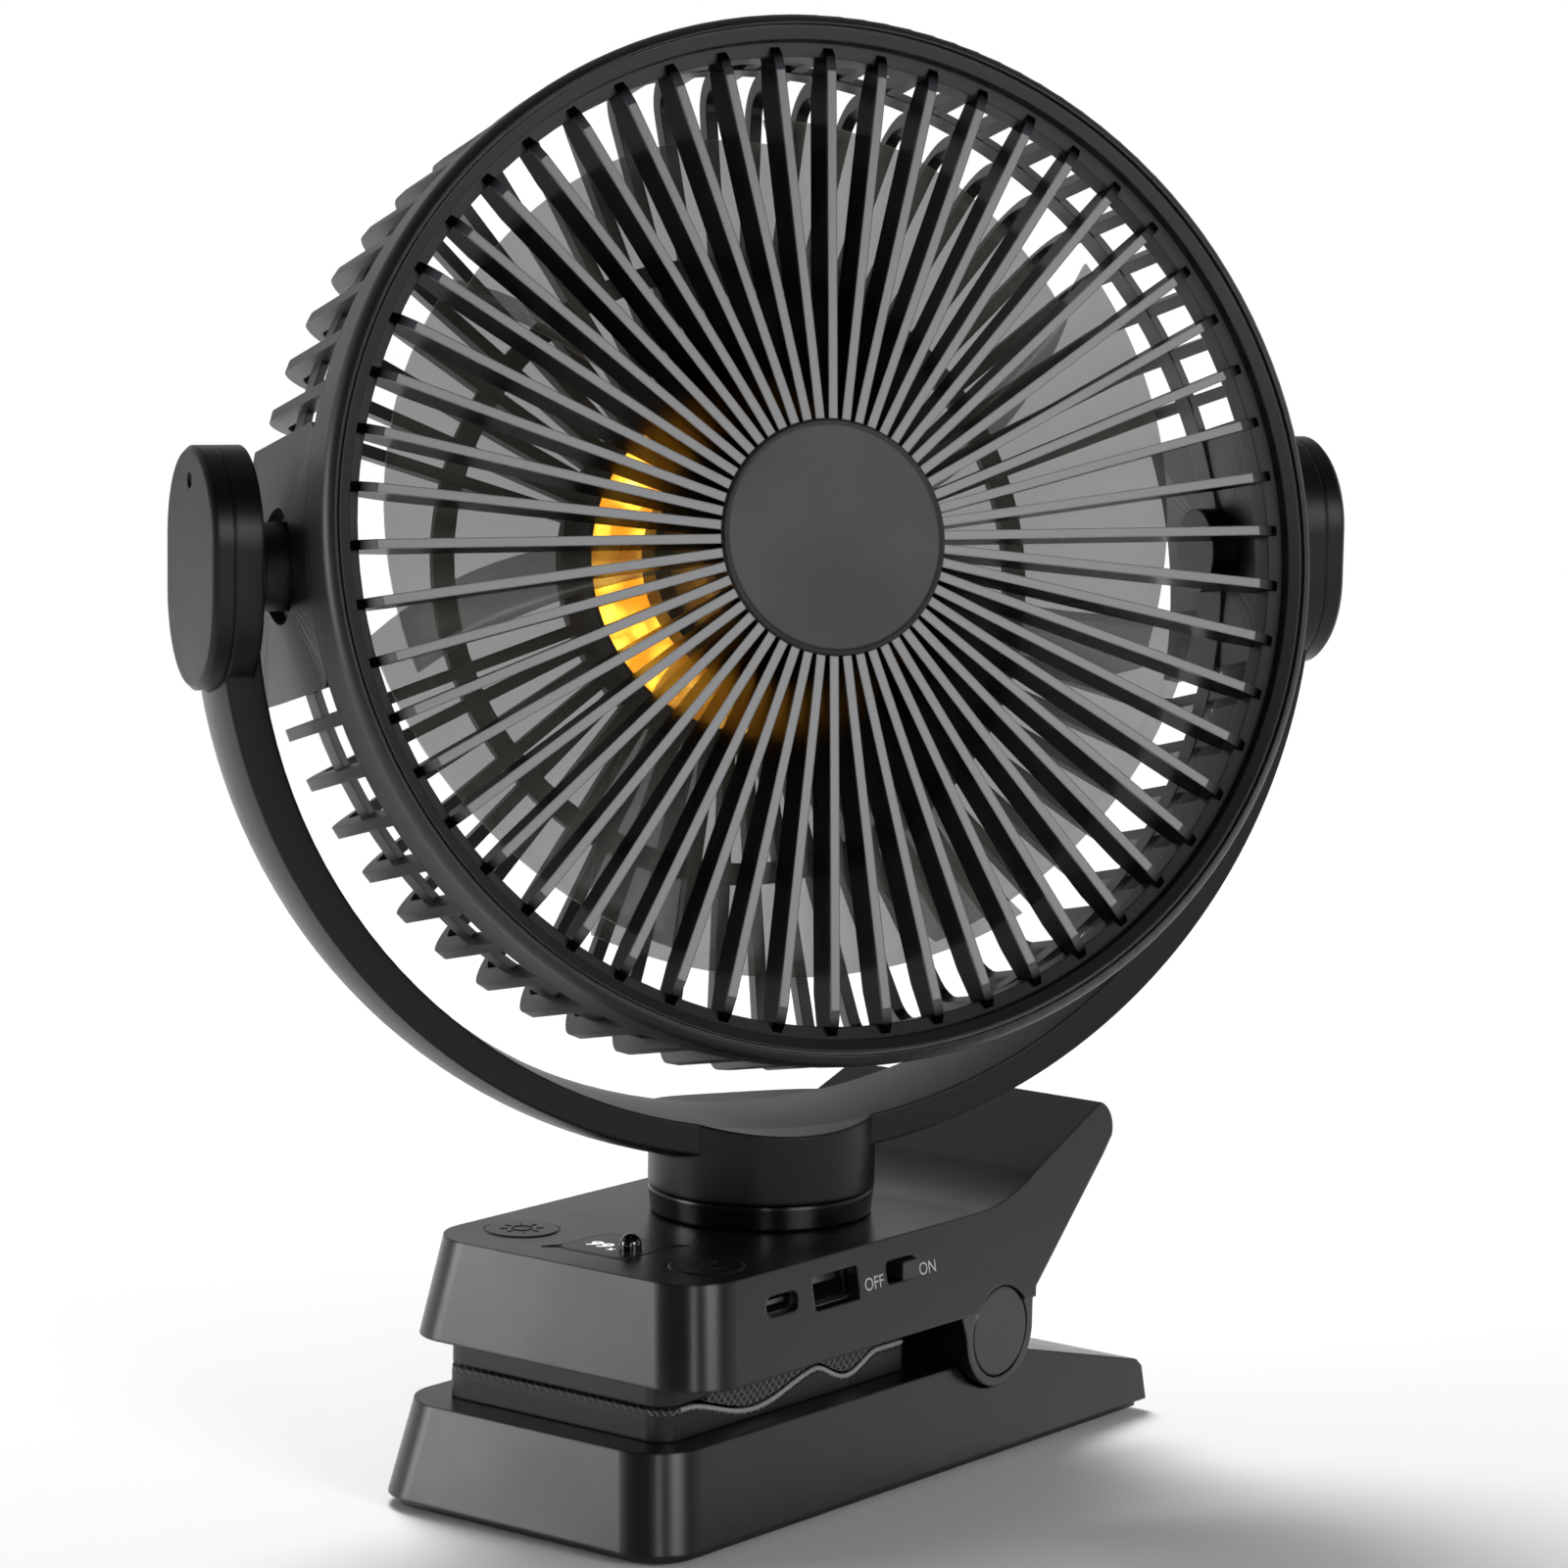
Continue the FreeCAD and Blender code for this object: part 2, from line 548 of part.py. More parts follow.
def oval_block(side, x0, x1):
    """Stadium-shaped block lying along X."""
    r = KNOB_WIDTH / 2
    rise = KNOB_HEIGHT / 2 - r
    outline = [(x0, -r, -rise), [(x0, 0, -rise - r), (x0, r, -rise)], (x0, r, rise),
               [(x0, 0, rise + r), (x0, -r, rise)]]
    block = prism(outline, (x1 - x0, 0, 0))
    block.translate(V(0, 0, PIVOT_Z))
    return block if side > 0 else mirrored(block)


def knob(side):
    """Oval cap on the outer end of the pivot."""
    x0, x1 = KNOB_FACE_X - KNOB_THICK, KNOB_FACE_X
    cap = oval_block(side, x0, x1)
    face = [f for f in cap.Faces if abs(abs(f.CenterOfMass.x) - x1) < 1e-3][0]
    cap = cap.makeChamfer(0.8, face.OuterWire.Edges)
    dimple = Part.makeCylinder(1.5, 2, V(side * (x1 - 0.5), 0, PIVOT_Z + KNOB_HEIGHT / 2 - 6), V(side, 0, 0))
    return cap.cut(dimple)


def pivot_washers():
    washers = []
    for side in (-1, 1):
        x1 = KNOB_FACE_X - KNOB_THICK - 5.0
        washer = Part.makeCylinder(WASHER_RADIUS, 2.0, V(side * x1, 0, PIVOT_Z), V(-side, 0, 0))
        washers.append(washer.cut(Part.makeCylinder(PIVOT_SHAFT_RADIUS + 0.05, 8, V(side * (x1 + 2), 0, PIVOT_Z),
                                                    V(-side, 0, 0))))
    return Part.makeCompound(washers)


def swivel_post():
    gap = NECK_RING_TOP + 0.3
    return turned([(0, UPPER_TOP - 6.4), (9.6, UPPER_TOP - 6.4), (9.6, UPPER_TOP - 3.2), (7.1, UPPER_TOP - 3.2),
                   (7.1, gap + 5.0), (0, gap + 5.0)])


# Fan head

def pivot_shafts():
    shafts = []
    for side in (-1, 1):
        x0 = PIVOT_SHAFT_ROOT
        x1 = KNOB_FACE_X - KNOB_THICK - 1.8
        shafts.append(Part.makeCylinder(PIVOT_SHAFT_RADIUS, x1 - x0, V(side * x0, 0, 0), V(side, 0, 0)))
    return Part.makeCompound(shafts)


def rim_outline():
    """Section of the front grille's outer ring, with its rounded edge and seam groove."""
    r, front, back = RIM_RADIUS, RIM_FRONT, RIM_BACK
    seam = SEAM_RADIUS
    return [(seam - 0.25, front - 1.0), (seam + 0.25, front - 1.0), (seam + 0.25, front - 0.1),
            (seam + 0.5, front), [(r - 0.7, front - 0.8), (r, front - 2.6)], (r, back), (RIM_INNER, back),
            (RIM_INNER, front - 4.8), (LEDGE_RADIUS, front - 4.0), (LEDGE_RADIUS, front - 1.4),
            (seam - 0.25, front - 0.3)]


def front_vanes():
    """Straight vanes that run from the hub ring to the ledge of the rim."""
    body = ring(HUB_RADIUS - 0.6, 15.0, VANE_BACK, VANE_FRONT - 0.6)
    body = body.fuse(ring(16.0, 0, VANE_BACK, VANE_BACK + 2.0))
    tip = LEDGE_RADIUS - 0.3
    half = VANE_THICK / 2
    outline = [(HUB_RADIUS - 1.6, half, VANE_FRONT - 0.6), (HUB_RADIUS - 1.6, half, VANE_BACK),
               (RIM_INNER - 6, half, VANE_BACK),
               (RIM_INNER + 0.6, half, VANE_BACK + 1.6), (tip, half, RIM_FRONT - 4.2),
               (tip, half, VANE_FRONT - 2.2), (tip - 1.9, half, VANE_FRONT - 0.7), (tip - 4.8, half, VANE_FRONT),
               (HUB_RADIUS + 0.05, half, VANE_FRONT), (HUB_RADIUS + 0.05, half, VANE_FRONT - 0.6)]
    vane = prism(outline, (0, -VANE_THICK, 0))
    vane = vane.cut(turned(rim_outline()))
    return body.fuse(around(vane, VANE_COUNT)).removeSplitter()


def hub_cap():
    return turned([(0, VANE_FRONT - 0.6), (HUB_RADIUS, VANE_FRONT - 0.6), (HUB_RADIUS, VANE_FRONT + 0.3),
                   (HUB_RADIUS - 0.5, VANE_FRONT + 0.8), (HUB_RADIUS - 1.1, VANE_FRONT + 0.5),
                   (0, VANE_FRONT + 0.5)])


def rear_rib():
    """One L-shaped rib: along the side, round the corner and in across the back."""
    half = RIB_THICK / 2
    deep = RIB_DEPTH
    bend = RIB_BEND
    r_band, r_back = BAND_RADIUS - 0.6, BACK_RADIUS
    cut, cut_in = bend * 0.34, (bend - deep) * 0.34
    in_r = MOTOR_RADIUS + 10.5
    outline = [(r_band, half, BAND_BACK + 1.5), (r_back + 0.3, half, BACK_FACE + bend),
               (r_back - cut * 0.4, half, BACK_FACE + cut), (r_back - cut, half, BACK_FACE + cut * 0.4),
               (r_back - bend, half, BACK_FACE), (in_r, half, BACK_FACE),
               (in_r, half, BACK_FACE + deep - 0.6), (r_back - bend, half, BACK_FACE + deep),
               (r_back - deep - cut_in, half, BACK_FACE + deep + cut_in * 0.4), (r_back - deep, half, BACK_FACE + bend),
               (r_band - deep, half, BAND_BACK + 1.5)]
    return prism(outline, (0, -RIB_THICK, 0))


def sector(outer, inner, z0, z1, half_angle):
    """Piece of a ring centred on +X."""
    a = math.radians(half_angle)
    c, s = math.cos(a), math.sin(a)
    wedge = prism([(0, 0, z0), (outer * 2 * c, -outer * 2 * s, z0), (outer * 2 * c, outer * 2 * s, z0)],
                  (0, 0, z1 - z0))
    return ring(outer, inner, z0, z1).common(wedge)


def rear_cage():
    """Side and back of the cage's rear half: band, ribs, rings, side panels and the motor's seat."""
    missing = [i for i in range(RIB_COUNT) if min(i, RIB_COUNT - i) <= 2 or abs(i - RIB_COUNT // 2) <= 2]
    body = turned([(BAND_RADIUS - 3.6, BAND_BACK), (BAND_RADIUS - 0.4, BAND_BACK), (BAND_RADIUS, BAND_BACK + 0.5),
                   (BAND_RADIUS + 0.1, RIM_BACK), (BAND_RADIUS - 3.6, RIM_BACK)])
    pieces = around(rear_rib(), RIB_COUNT, missing)
    pieces.append(ring(BAND_RADIUS - 1.5, BAND_RADIUS - 4.2, -2.0, 2.4))
    pieces.append(ring(MID_RING_RADIUS + 2.0, MID_RING_RADIUS - 2.0, BACK_FACE + 0.4, BACK_FACE + 2.6))
    pieces.append(ring(MOTOR_RADIUS + 13.0, MOTOR_RADIUS - 7, BACK_FACE, BACK_FACE + 3.0))
    for side in (0, 180):
        panel = sector(BAND_RADIUS - 0.6, BAND_RADIUS - 3.8, BACK_FACE + 6.5, BAND_BACK + 1, 14.4)
        back = sector(BACK_RADIUS - 1.0, MID_RING_RADIUS, BACK_FACE + 0.6, BACK_FACE + 3.0, 14.4)
        skirt = sector(BACK_RADIUS - 1.0, BACK_RADIUS - 4.0, BACK_FACE + 0.6, BACK_FACE + 7.0, 14.4)
        boss = Part.makeCylinder(10.2, 7.6, V(82.4, 0, 0), V(1, 0, 0))
        part = panel.fuse([back, skirt, boss])
        pocket = Part.makeBox(6, 19.0, 24.0, V(BAND_RADIUS - 3.0, -9.5, -12.0))
        part = part.cut(pocket)
        part.rotate(V(0, 0, 0), V(0, 0, 1), side)
        pieces.append(part)
    body = body.fuse(pieces)
    for side in (-1, 1):
        bore = Part.makeCylinder(PIVOT_SHAFT_RADIUS, 20, V(side * PIVOT_SHAFT_ROOT, 0, 0), V(side, 0, 0))
        body = body.cut(bore)
    bend_plane = Part.makeBox(300, 300, 60, V(-150, -150, BACK_FACE + RIB_BEND))
    return body.common(bend_plane).removeSplitter(), body.cut(bend_plane).removeSplitter()


def motor_housing():
    """Cup on the rear grille that holds the motor and carries the lamp ring."""
    seat = BACK_FACE + 3.0
    return turned([(0, seat), (31.5, seat), (31.5, seat + 8.0), (30.8, seat + 8.0), (30.8, seat + 2.0),
                   (MOTOR_RADIUS, seat + 2.0), (MOTOR_RADIUS, -4.0), (MOTOR_RADIUS - 1.6, -4.0),
                   (MOTOR_RADIUS - 1.6, seat + 1.8), (0, seat + 1.8)])


def motor_stator():
    seat = BACK_FACE + 4.8
    return ring(MOTOR_RADIUS - 2.4, 3.6, seat, seat + 9.0)


def motor_bearings():
    seat = BACK_FACE + 4.8
    low = turned([(1.55, seat), (3.6, seat), (3.6, seat + 2.5), (1.55, seat + 2.5)])
    high = turned([(1.55, seat + 6.5), (3.6, seat + 6.5), (3.6, seat + 9.0), (1.55, seat + 9.0)])
    return Part.makeCompound([low, high])


def rotor_shaft():
    return Part.makeCylinder(1.5, 34.0, V(0, 0, BACK_FACE + 5.2))


def blade():
    """Twisted fan blade lofted through sections that flatten towards the tip."""
    sections = []
    for radius, chord, pitch, sweep in ((17.5, 20, 52, 0), (36, 34, 40, 3), (56, 46, 31, 9), (76, 50, 24, 16)):
        p = math.radians(pitch)
        along = V(0, math.cos(p), math.sin(p))
        across = V(0, -math.sin(p), math.cos(p))
        centre = V(math.sqrt(radius ** 2 - sweep ** 2), sweep, 9.5)
        thick, camber = 0.8, chord * 0.07
        a, b = centre - along * (chord / 2), centre + along * (chord / 2)
        top = centre + across * (camber + thick)
        low = centre + across * (camber - thick)
        edge = across * (thick * 0.6)
        arc_top = Part.Arc(a + edge, top, b + edge).toShape()
        arc_low = Part.Arc(b - edge, low, a - edge).toShape()
        sections.append(Part.Wire([arc_top, Part.LineSegment(b + edge, b - edge).toShape(), arc_low,
                                   Part.LineSegment(a - edge, a + edge).toShape()]))
    return Part.makeLoft(sections, True, False)


def impeller():
    hub = turned([(1.5, 2.0), (5.0, 2.0), (5.0, 15.4), (SPINNER_RADIUS - 2.0, 15.4), (SPINNER_RADIUS - 2.0, -1.5),
                  (SPINNER_RADIUS, -1.5), (SPINNER_RADIUS, 15.0), [(SPINNER_RADIUS - 1.0, 17.2),
                                                                  (SPINNER_RADIUS - 3.4, 18.0)], (1.5, 18.0)])
    limit = ring(BLADE_RADIUS, SPINNER_RADIUS - 1.5, -3.4, 21.0)
    blades = [b.common(limit) for b in around(blade(), BLADE_COUNT)]
    return hub.fuse(blades).removeSplitter()


def impeller_nut():
    nut = turned([(1.5, 18.0), (5.0, 18.0), (5.0, 20.0), (4.0, 20.8), (1.5, 20.8)])
    return nut


def led_board():
    return ring(LED_RING[1] - 0.2, MOTOR_RADIUS, BACK_FACE + 5.0, BACK_FACE + 6.4)


def led_lamps():
    lamps = []
    for count, radius in ((LED_COUNT, 28.0), (12, 23.8)):
        lamp = Part.makeBox(2.4, 2.8, 1.0, V(radius - 1.2, -1.4, BACK_FACE + 6.4))
        lamps += around(lamp, count)
    return Part.makeCompound(lamps)


def led_diffuser():
    z0 = BACK_FACE + 8.6
    return ring(LED_RING[1] + 0.2, MOTOR_RADIUS, z0, z0 + 1.6)


save("lower_jaw", at_neck(lower_jaw()))
save("bottom_cover", at_neck(bottom_cover()))
save("rubber_feet", at_neck(rubber_feet()))
save("cover_screws", at_neck(cover_screws()))
save("lower_pad_carrier", at_neck(lower_carrier()))
save("lower_pad", at_neck(lower_pad()))
save("hinge_pin", at_neck(hinge_pin()))
save("torsion_spring", at_neck(torsion_spring()))
save("upper_housing", at_neck(upper_housing()))
save("jaw_plate", at_neck(jaw_plate()))
save("upper_pad_carrier", at_neck(upper_carrier()))
save("upper_pad", at_neck(upper_pad()))
save("battery_pack", at_neck(battery_pack()))
save("control_board", at_neck(control_board()))
save("usb_a_socket", at_neck(usb_a_socket()))
save("usb_c_socket", at_neck(usb_c_socket()))
save("switch_body", at_neck(switch_body()))
save("switch_slider", at_neck(switch_slider()))
save("light_button", at_neck(button(-BUTTON_X)))
save("fan_button", at_neck(button(BUTTON_X)))
save("button_switches", at_neck(button_switches()))
save("display_window", at_neck(display_window()))
save("display_module", at_neck(display_module()))
save("receiver_dome", at_neck(receiver_dome()))
save("hinge_caps", at_neck(hinge_caps()))
save("neck_ring", at_neck(neck_ring()))
save("yoke", at_yoke(yoke()))
save("knob_left", at_yoke(knob(-1)))
save("knob_right", at_yoke(knob(1)))
save("pivot_washers", at_yoke(pivot_washers()))
save("swivel_post", at_yoke(swivel_post()))
save("pivot_shafts", at_head(pivot_shafts()))
save("front_rim", at_head(turned(rim_outline())))
save("front_vanes", at_head(front_vanes()))
save("hub_cap", at_head(hub_cap()))
cage_side, cage_back = rear_cage()
save("rear_cage_side", at_head(cage_side))
save("rear_cage_back", at_head(cage_back))
save("motor_housing", at_head(motor_housing()))
save("motor_stator", at_head(motor_stator()))
save("motor_bearings", at_head(motor_bearings()))
save("rotor_shaft", at_head(rotor_shaft()))
save("impeller", at_head(impeller()))
save("impeller_nut", at_head(impeller_nut()))
save("led_board", at_head(led_board()))
save("led_lamps", at_head(led_lamps()))
save("led_diffuser", at_head(led_diffuser()))
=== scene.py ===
import math

import bmesh
import bpy
from mathutils import Matrix, Vector


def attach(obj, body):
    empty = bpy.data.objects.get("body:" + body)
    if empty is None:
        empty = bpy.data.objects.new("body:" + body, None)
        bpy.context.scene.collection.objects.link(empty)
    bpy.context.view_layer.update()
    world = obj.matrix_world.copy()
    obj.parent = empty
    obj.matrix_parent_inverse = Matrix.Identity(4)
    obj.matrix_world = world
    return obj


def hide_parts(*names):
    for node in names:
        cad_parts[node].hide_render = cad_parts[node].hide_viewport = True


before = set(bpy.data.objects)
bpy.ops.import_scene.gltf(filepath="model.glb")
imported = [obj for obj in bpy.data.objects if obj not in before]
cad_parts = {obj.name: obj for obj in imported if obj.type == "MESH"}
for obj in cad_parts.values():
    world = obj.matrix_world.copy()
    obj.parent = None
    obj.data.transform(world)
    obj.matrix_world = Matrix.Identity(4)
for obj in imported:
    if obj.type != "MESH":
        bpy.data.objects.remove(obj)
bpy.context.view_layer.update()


# Camera
# A long lens at the buttons' corner of the base, nearly as high as the top of the
# grille and turned a little down, so that upright edges stay nearly parallel.
clip_middle = -0.0041  # x of the clip's middle plane and of the neck, in metres
neck = Vector((clip_middle, 0.0, 0.0))
camera_offset = Vector((0.5419, -0.6945, 0.2452))
camera_azimuth = math.radians(37.77)
camera_elevation = math.radians(7.71)
camera_roll = math.radians(0.98)
camera_data = bpy.data.cameras.new("camera")
camera_data.sensor_width = 36.0
camera_data.lens = 112.5
camera_data.clip_end = 20.0
camera = bpy.data.objects.new("camera", camera_data)
bpy.context.scene.collection.objects.link(camera)
camera.location = neck + camera_offset
camera.rotation_euler = (
    Matrix.Rotation(camera_azimuth, 3, "Z")
    @ Matrix.Rotation(math.pi / 2 - camera_elevation, 3, "X")
    @ Matrix.Rotation(camera_roll, 3, "Z")
).to_euler()
bpy.context.scene.camera = camera
bpy.context.scene.view_settings.view_transform = "Standard"


# Studio
# A white paper sweep, darker overhead and towards the camera so that the black mouldings
# keep their shape. Four softboxes light the fan: the one above and behind it casts the
# main shadow and is kept out of the reflections.
def shade(code):
    """Linear colour from an sRGB hex code."""
    parts = [int(code[i:i + 2], 16) / 255 for i in (0, 2, 4)]
    return (*[p / 12.92 if p <= 0.04045 else ((p + 0.055) / 1.055) ** 2.4 for p in parts], 1.0)


def add(tree, kind, values=None, **settings):
    """Add a node: values go to its inputs by name or index, and a socket given as a value is linked."""
    node = tree.nodes.new(kind)
    for key, value in settings.items():
        setattr(node, key, value)
    for key, value in (values or {}).items():
        if isinstance(value, bpy.types.NodeSocket):
            tree.links.new(value, node.inputs[key])
        else:
            node.inputs[key].default_value = value
    return node


def blank_material(name):
    """Empty node material with its output node."""
    material = bpy.data.materials.new(name)
    material.use_nodes = True
    material.node_tree.nodes.clear()
    return material, material.node_tree, material.node_tree.nodes.new("ShaderNodeOutputMaterial")


def mesh_piece(name, vertices, faces, material, smooth=False):
    """Object at the origin from vertices and faces in metres."""
    mesh = bpy.data.meshes.new(name)
    mesh.from_pydata([tuple(v) for v in vertices], [], faces)
    mesh.materials.append(material)
    piece = bpy.data.objects.new(name, mesh)
    bpy.context.scene.collection.objects.link(piece)
    mesh.polygons.foreach_set("use_smooth", [smooth] * len(mesh.polygons))
    mesh.update()
    return piece


world = bpy.data.worlds.new("paper_sweep")
bpy.context.scene.world = world
world.use_nodes = True
tree = world.node_tree
tree.nodes.clear()
direction = add(tree, "ShaderNodeTexCoord").outputs["Generated"]
camera_way = (0.607, -0.783, 0.134)
towards_camera = add(tree, "ShaderNodeVectorMath", {0: direction, 1: camera_way},
                     operation="DOT_PRODUCT").outputs["Value"]
sweep = add(tree, "ShaderNodeMapRange", {"Value": towards_camera, "From Min": -0.25, "From Max": 0.55,
                                         "To Min": 0.55, "To Max": 0.06}, interpolation_type="SMOOTHSTEP")
height = add(tree, "ShaderNodeSeparateXYZ", {0: direction}).outputs["Z"]
ceiling = add(tree, "ShaderNodeMapRange", {"Value": height, "From Min": 0.3, "From Max": 0.75,
                                           "To Min": 1.0, "To Max": 0.3})
dimmed = add(tree, "ShaderNodeMath", {0: sweep.outputs["Result"], 1: ceiling.outputs["Result"]},
             operation="MULTIPLY")
lit = add(tree, "ShaderNodeBackground", {"Color": dimmed.outputs[0], "Strength": 1.0})
paper = add(tree, "ShaderNodeBackground", {"Color": (1, 1, 1, 1), "Strength": 1.0})
rays = add(tree, "ShaderNodeLightPath")
seen = add(tree, "ShaderNodeMath", {0: rays.outputs["Is Camera Ray"], 1: rays.outputs["Is Transmission Ray"]},
           operation="MAXIMUM")
both = add(tree, "ShaderNodeMixShader", {0: seen.outputs[0], 1: lit.outputs[0], 2: paper.outputs[0]})
add(tree, "ShaderNodeOutputWorld", {"Surface": both.outputs[0]})

floor_radius, floor_sides = 3.0, 64
white_from, white_to = 0.25, 0.75  # the paper goes over to plain white between these radii
paper_material, tree, out = blank_material("matt_paper")
place = add(tree, "ShaderNodeNewGeometry").outputs["Position"]
flat_place = add(tree, "ShaderNodeVectorMath", {0: place, 1: (1.0, 1.0, 0.0)}, operation="MULTIPLY")
reach = add(tree, "ShaderNodeVectorMath", {0: flat_place.outputs[0]}, operation="LENGTH")
fade = add(tree, "ShaderNodeMapRange", {"Value": reach.outputs["Value"], "From Min": white_from,
                                        "From Max": white_to}, interpolation_type="SMOOTHSTEP")
rays = add(tree, "ShaderNodeLightPath")
seen = add(tree, "ShaderNodeMath", {0: rays.outputs["Is Camera Ray"], 1: rays.outputs["Is Transmission Ray"]},
           operation="MAXIMUM")
white_share = add(tree, "ShaderNodeMath", {0: fade.outputs["Result"], 1: seen.outputs[0]},
                  operation="MULTIPLY")
diffuse = add(tree, "ShaderNodeBsdfDiffuse", {"Color": shade("f4f4f4")})
glow = add(tree, "ShaderNodeEmission", {"Color": (1, 1, 1, 1), "Strength": 1.0})
mixed = add(tree, "ShaderNodeMixShader",
            {0: white_share.outputs[0], 1: diffuse.outputs[0], 2: glow.outputs[0]})
tree.links.new(mixed.outputs[0], out.inputs["Surface"])
floor_rim = [(floor_radius * math.cos(i * math.tau / floor_sides),
              floor_radius * math.sin(i * math.tau / floor_sides), 0.0) for i in range(floor_sides)]
floor = mesh_piece("floor", floor_rim, [tuple(range(floor_sides))], paper_material)


def softbox(name, place, target, size, power):
    """Rectangular lamp turned to a point."""
    lamp = bpy.data.lights.new(name, "AREA")
    lamp.shape = "RECTANGLE"
    lamp.size, lamp.size_y = size
    lamp.energy = power
    holder = bpy.data.objects.new(name, lamp)
    bpy.context.scene.collection.objects.link(holder)
    holder.location = place
    holder.rotation_euler = (Vector(target) - Vector(place)).to_track_quat("-Z", "Y").to_euler()
    return holder


softbox("left_front_box", (-1.07, -1.09, 0.22), (0, 0, 0.06), (0.5, 0.7), 8.0)
softbox("corner_strip", (0.95, -1.0, 0.35), (0, 0, 0.05), (0.10, 0.7), 1.6)
softbox("right_box", (1.55, -0.25, 0.62), (0, 0, 0.17), (0.7, 0.6), 9.0)
key_box = softbox("key_box", (-0.8, 0.55, 1.5), (0, 0, 0.0), (0.7, 0.7), 30.0)
key_box.visible_glossy = False


# Jaws and housing
# Black ABS, injection moulded in tools with a fine spark-eroded grain, the bottom cover
# held by four screws. A soft sheen spreads the highlights, and edges are gently rounded.
def moulded(name, code, roughness, grain_mm=0.35, relief_mm=0.012, edge_mm=0.6, coat=0.0, alpha=1.0,
             specular=0.5):
    """Moulded plastic: grain drawn coarse enough to show, painted shade in its hollows, softened edges,
    cloudy sheen.
    """
    cloud_mm = 28.0
    hollow_shade_tone = 0.86
    material, tree, out = blank_material(name)
    place = add(tree, "ShaderNodeTexCoord").outputs["Object"]
    grain = add(tree, "ShaderNodeTexNoise", {"Vector": place, "Scale": 1000 / grain_mm, "Detail": 2.0})
    clouds = add(tree, "ShaderNodeTexNoise", {"Vector": place, "Scale": 1000 / cloud_mm, "Detail": 3.0})
    soft_edge = add(tree, "ShaderNodeBevel", {"Radius": edge_mm / 1000}, samples=4)
    relief = add(tree, "ShaderNodeBump", {"Height": grain.outputs["Fac"], "Distance": relief_mm / 1000,
                                          "Strength": 0.5, "Normal": soft_edge.outputs[0]})
    sheen = add(tree, "ShaderNodeMapRange", {"Value": clouds.outputs["Fac"], "From Min": 0.3, "From Max": 0.7,
                                             "To Min": roughness - 0.03, "To Max": roughness + 0.04})
    # Painted shade: the colour is darkened where the grain's relief is low, in its hollows.
    deep = tuple(c * hollow_shade_tone for c in shade(code)[:3]) + (1.0,)
    ramp = add(tree, "ShaderNodeValToRGB", {"Fac": grain.outputs["Fac"]})
    ramp.color_ramp.elements[0].color = deep
    ramp.color_ramp.elements[0].position = 0.35
    ramp.color_ramp.elements[1].color = shade(code)
    ramp.color_ramp.elements[1].position = 0.65
    surface = add(tree, "ShaderNodeBsdfPrincipled",
                  {"Base Color": ramp.outputs["Color"], "Roughness": sheen.outputs["Result"],
                   "Normal": relief.outputs["Normal"], "IOR": 1.53, "Coat Weight": coat,
                   "Coat Roughness": 0.12, "Alpha": alpha, "Specular IOR Level": specular})
    tree.links.new(surface.outputs[0], out.inputs["Surface"])
    return material


def finish(node_names, material):
    """Give CAD pieces their material."""
    for name in node_names:
        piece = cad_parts[name]
        piece.data.materials.clear()
        piece.data.materials.append(material)


housing_abs = moulded("grained_black_abs", "121213", 0.27)
finish(["lower_jaw", "upper_housing", "bottom_cover", "hinge_caps"], housing_abs)
# The keys have crisper edges, and the parts inside are duller.
button_abs = moulded("smooth_black_abs_keys", "131314", 0.3, edge_mm=0.25)
finish(["light_button", "fan_button"], button_abs)
inner_abs = moulded("plain_black_abs_inside", "1b1b1c", 0.5)
finish(["jaw_plate", "lower_pad_carrier", "upper_pad_carrier", "button_switches", "display_module"],
       inner_abs)


# Neck, yoke and knobs
# Glass-filled black nylon, moulded with a satin finish and less relief than the jaws, so
# that long soft highlights run along the yoke. The yoke turns on a post in the neck ring.
yoke_nylon = moulded("satin_black_nylon", "0b0b0c", 0.34, grain_mm=0.5, relief_mm=0.008, edge_mm=0.9,
                      specular=0.27)
finish(["yoke", "knob_left", "knob_right"], yoke_nylon)
# The neck ring is polished and has narrow highlights. The bearing parts are plain.
neck_gloss = moulded("polished_black_abs_neck", "060607", 0.2, grain_mm=0.6, relief_mm=0.004)
finish(["neck_ring"], neck_gloss)
bearing_nylon = moulded("black_acetal_bearings", "121213", 0.4)
finish(["pivot_washers", "pivot_shafts", "swivel_post", "switch_body", "switch_slider"], bearing_nylon)


# Grilles and hub cap
# Black ABS again, moulded with a satin finish. The smooth front edges of the vanes are painted grey as a
# painted highlight where they catch the light, and a plain dark grey cap closes the hub.
grille_abs = moulded("satin_black_abs_cage", "19191a", 0.4, grain_mm=0.5, relief_mm=0.008, edge_mm=0.4)
finish(["front_rim"], grille_abs)
cap_abs = moulded("dark_grey_abs_cap", "2f2f30", 0.42, grain_mm=0.4, specular=0.3)
finish(["hub_cap"], cap_abs)
head_centre = Vector((clip_middle, 0.0, 0.167))
head_right = Vector((0.5165, 0.8563, 0.0))
head_front = Vector((0.8379, -0.5054, 0.2062)).normalized()
head_up = head_front.cross(head_right)
head_place = Matrix((head_right, head_up, head_front)).transposed().to_4x4()
head_place.translation = head_centre

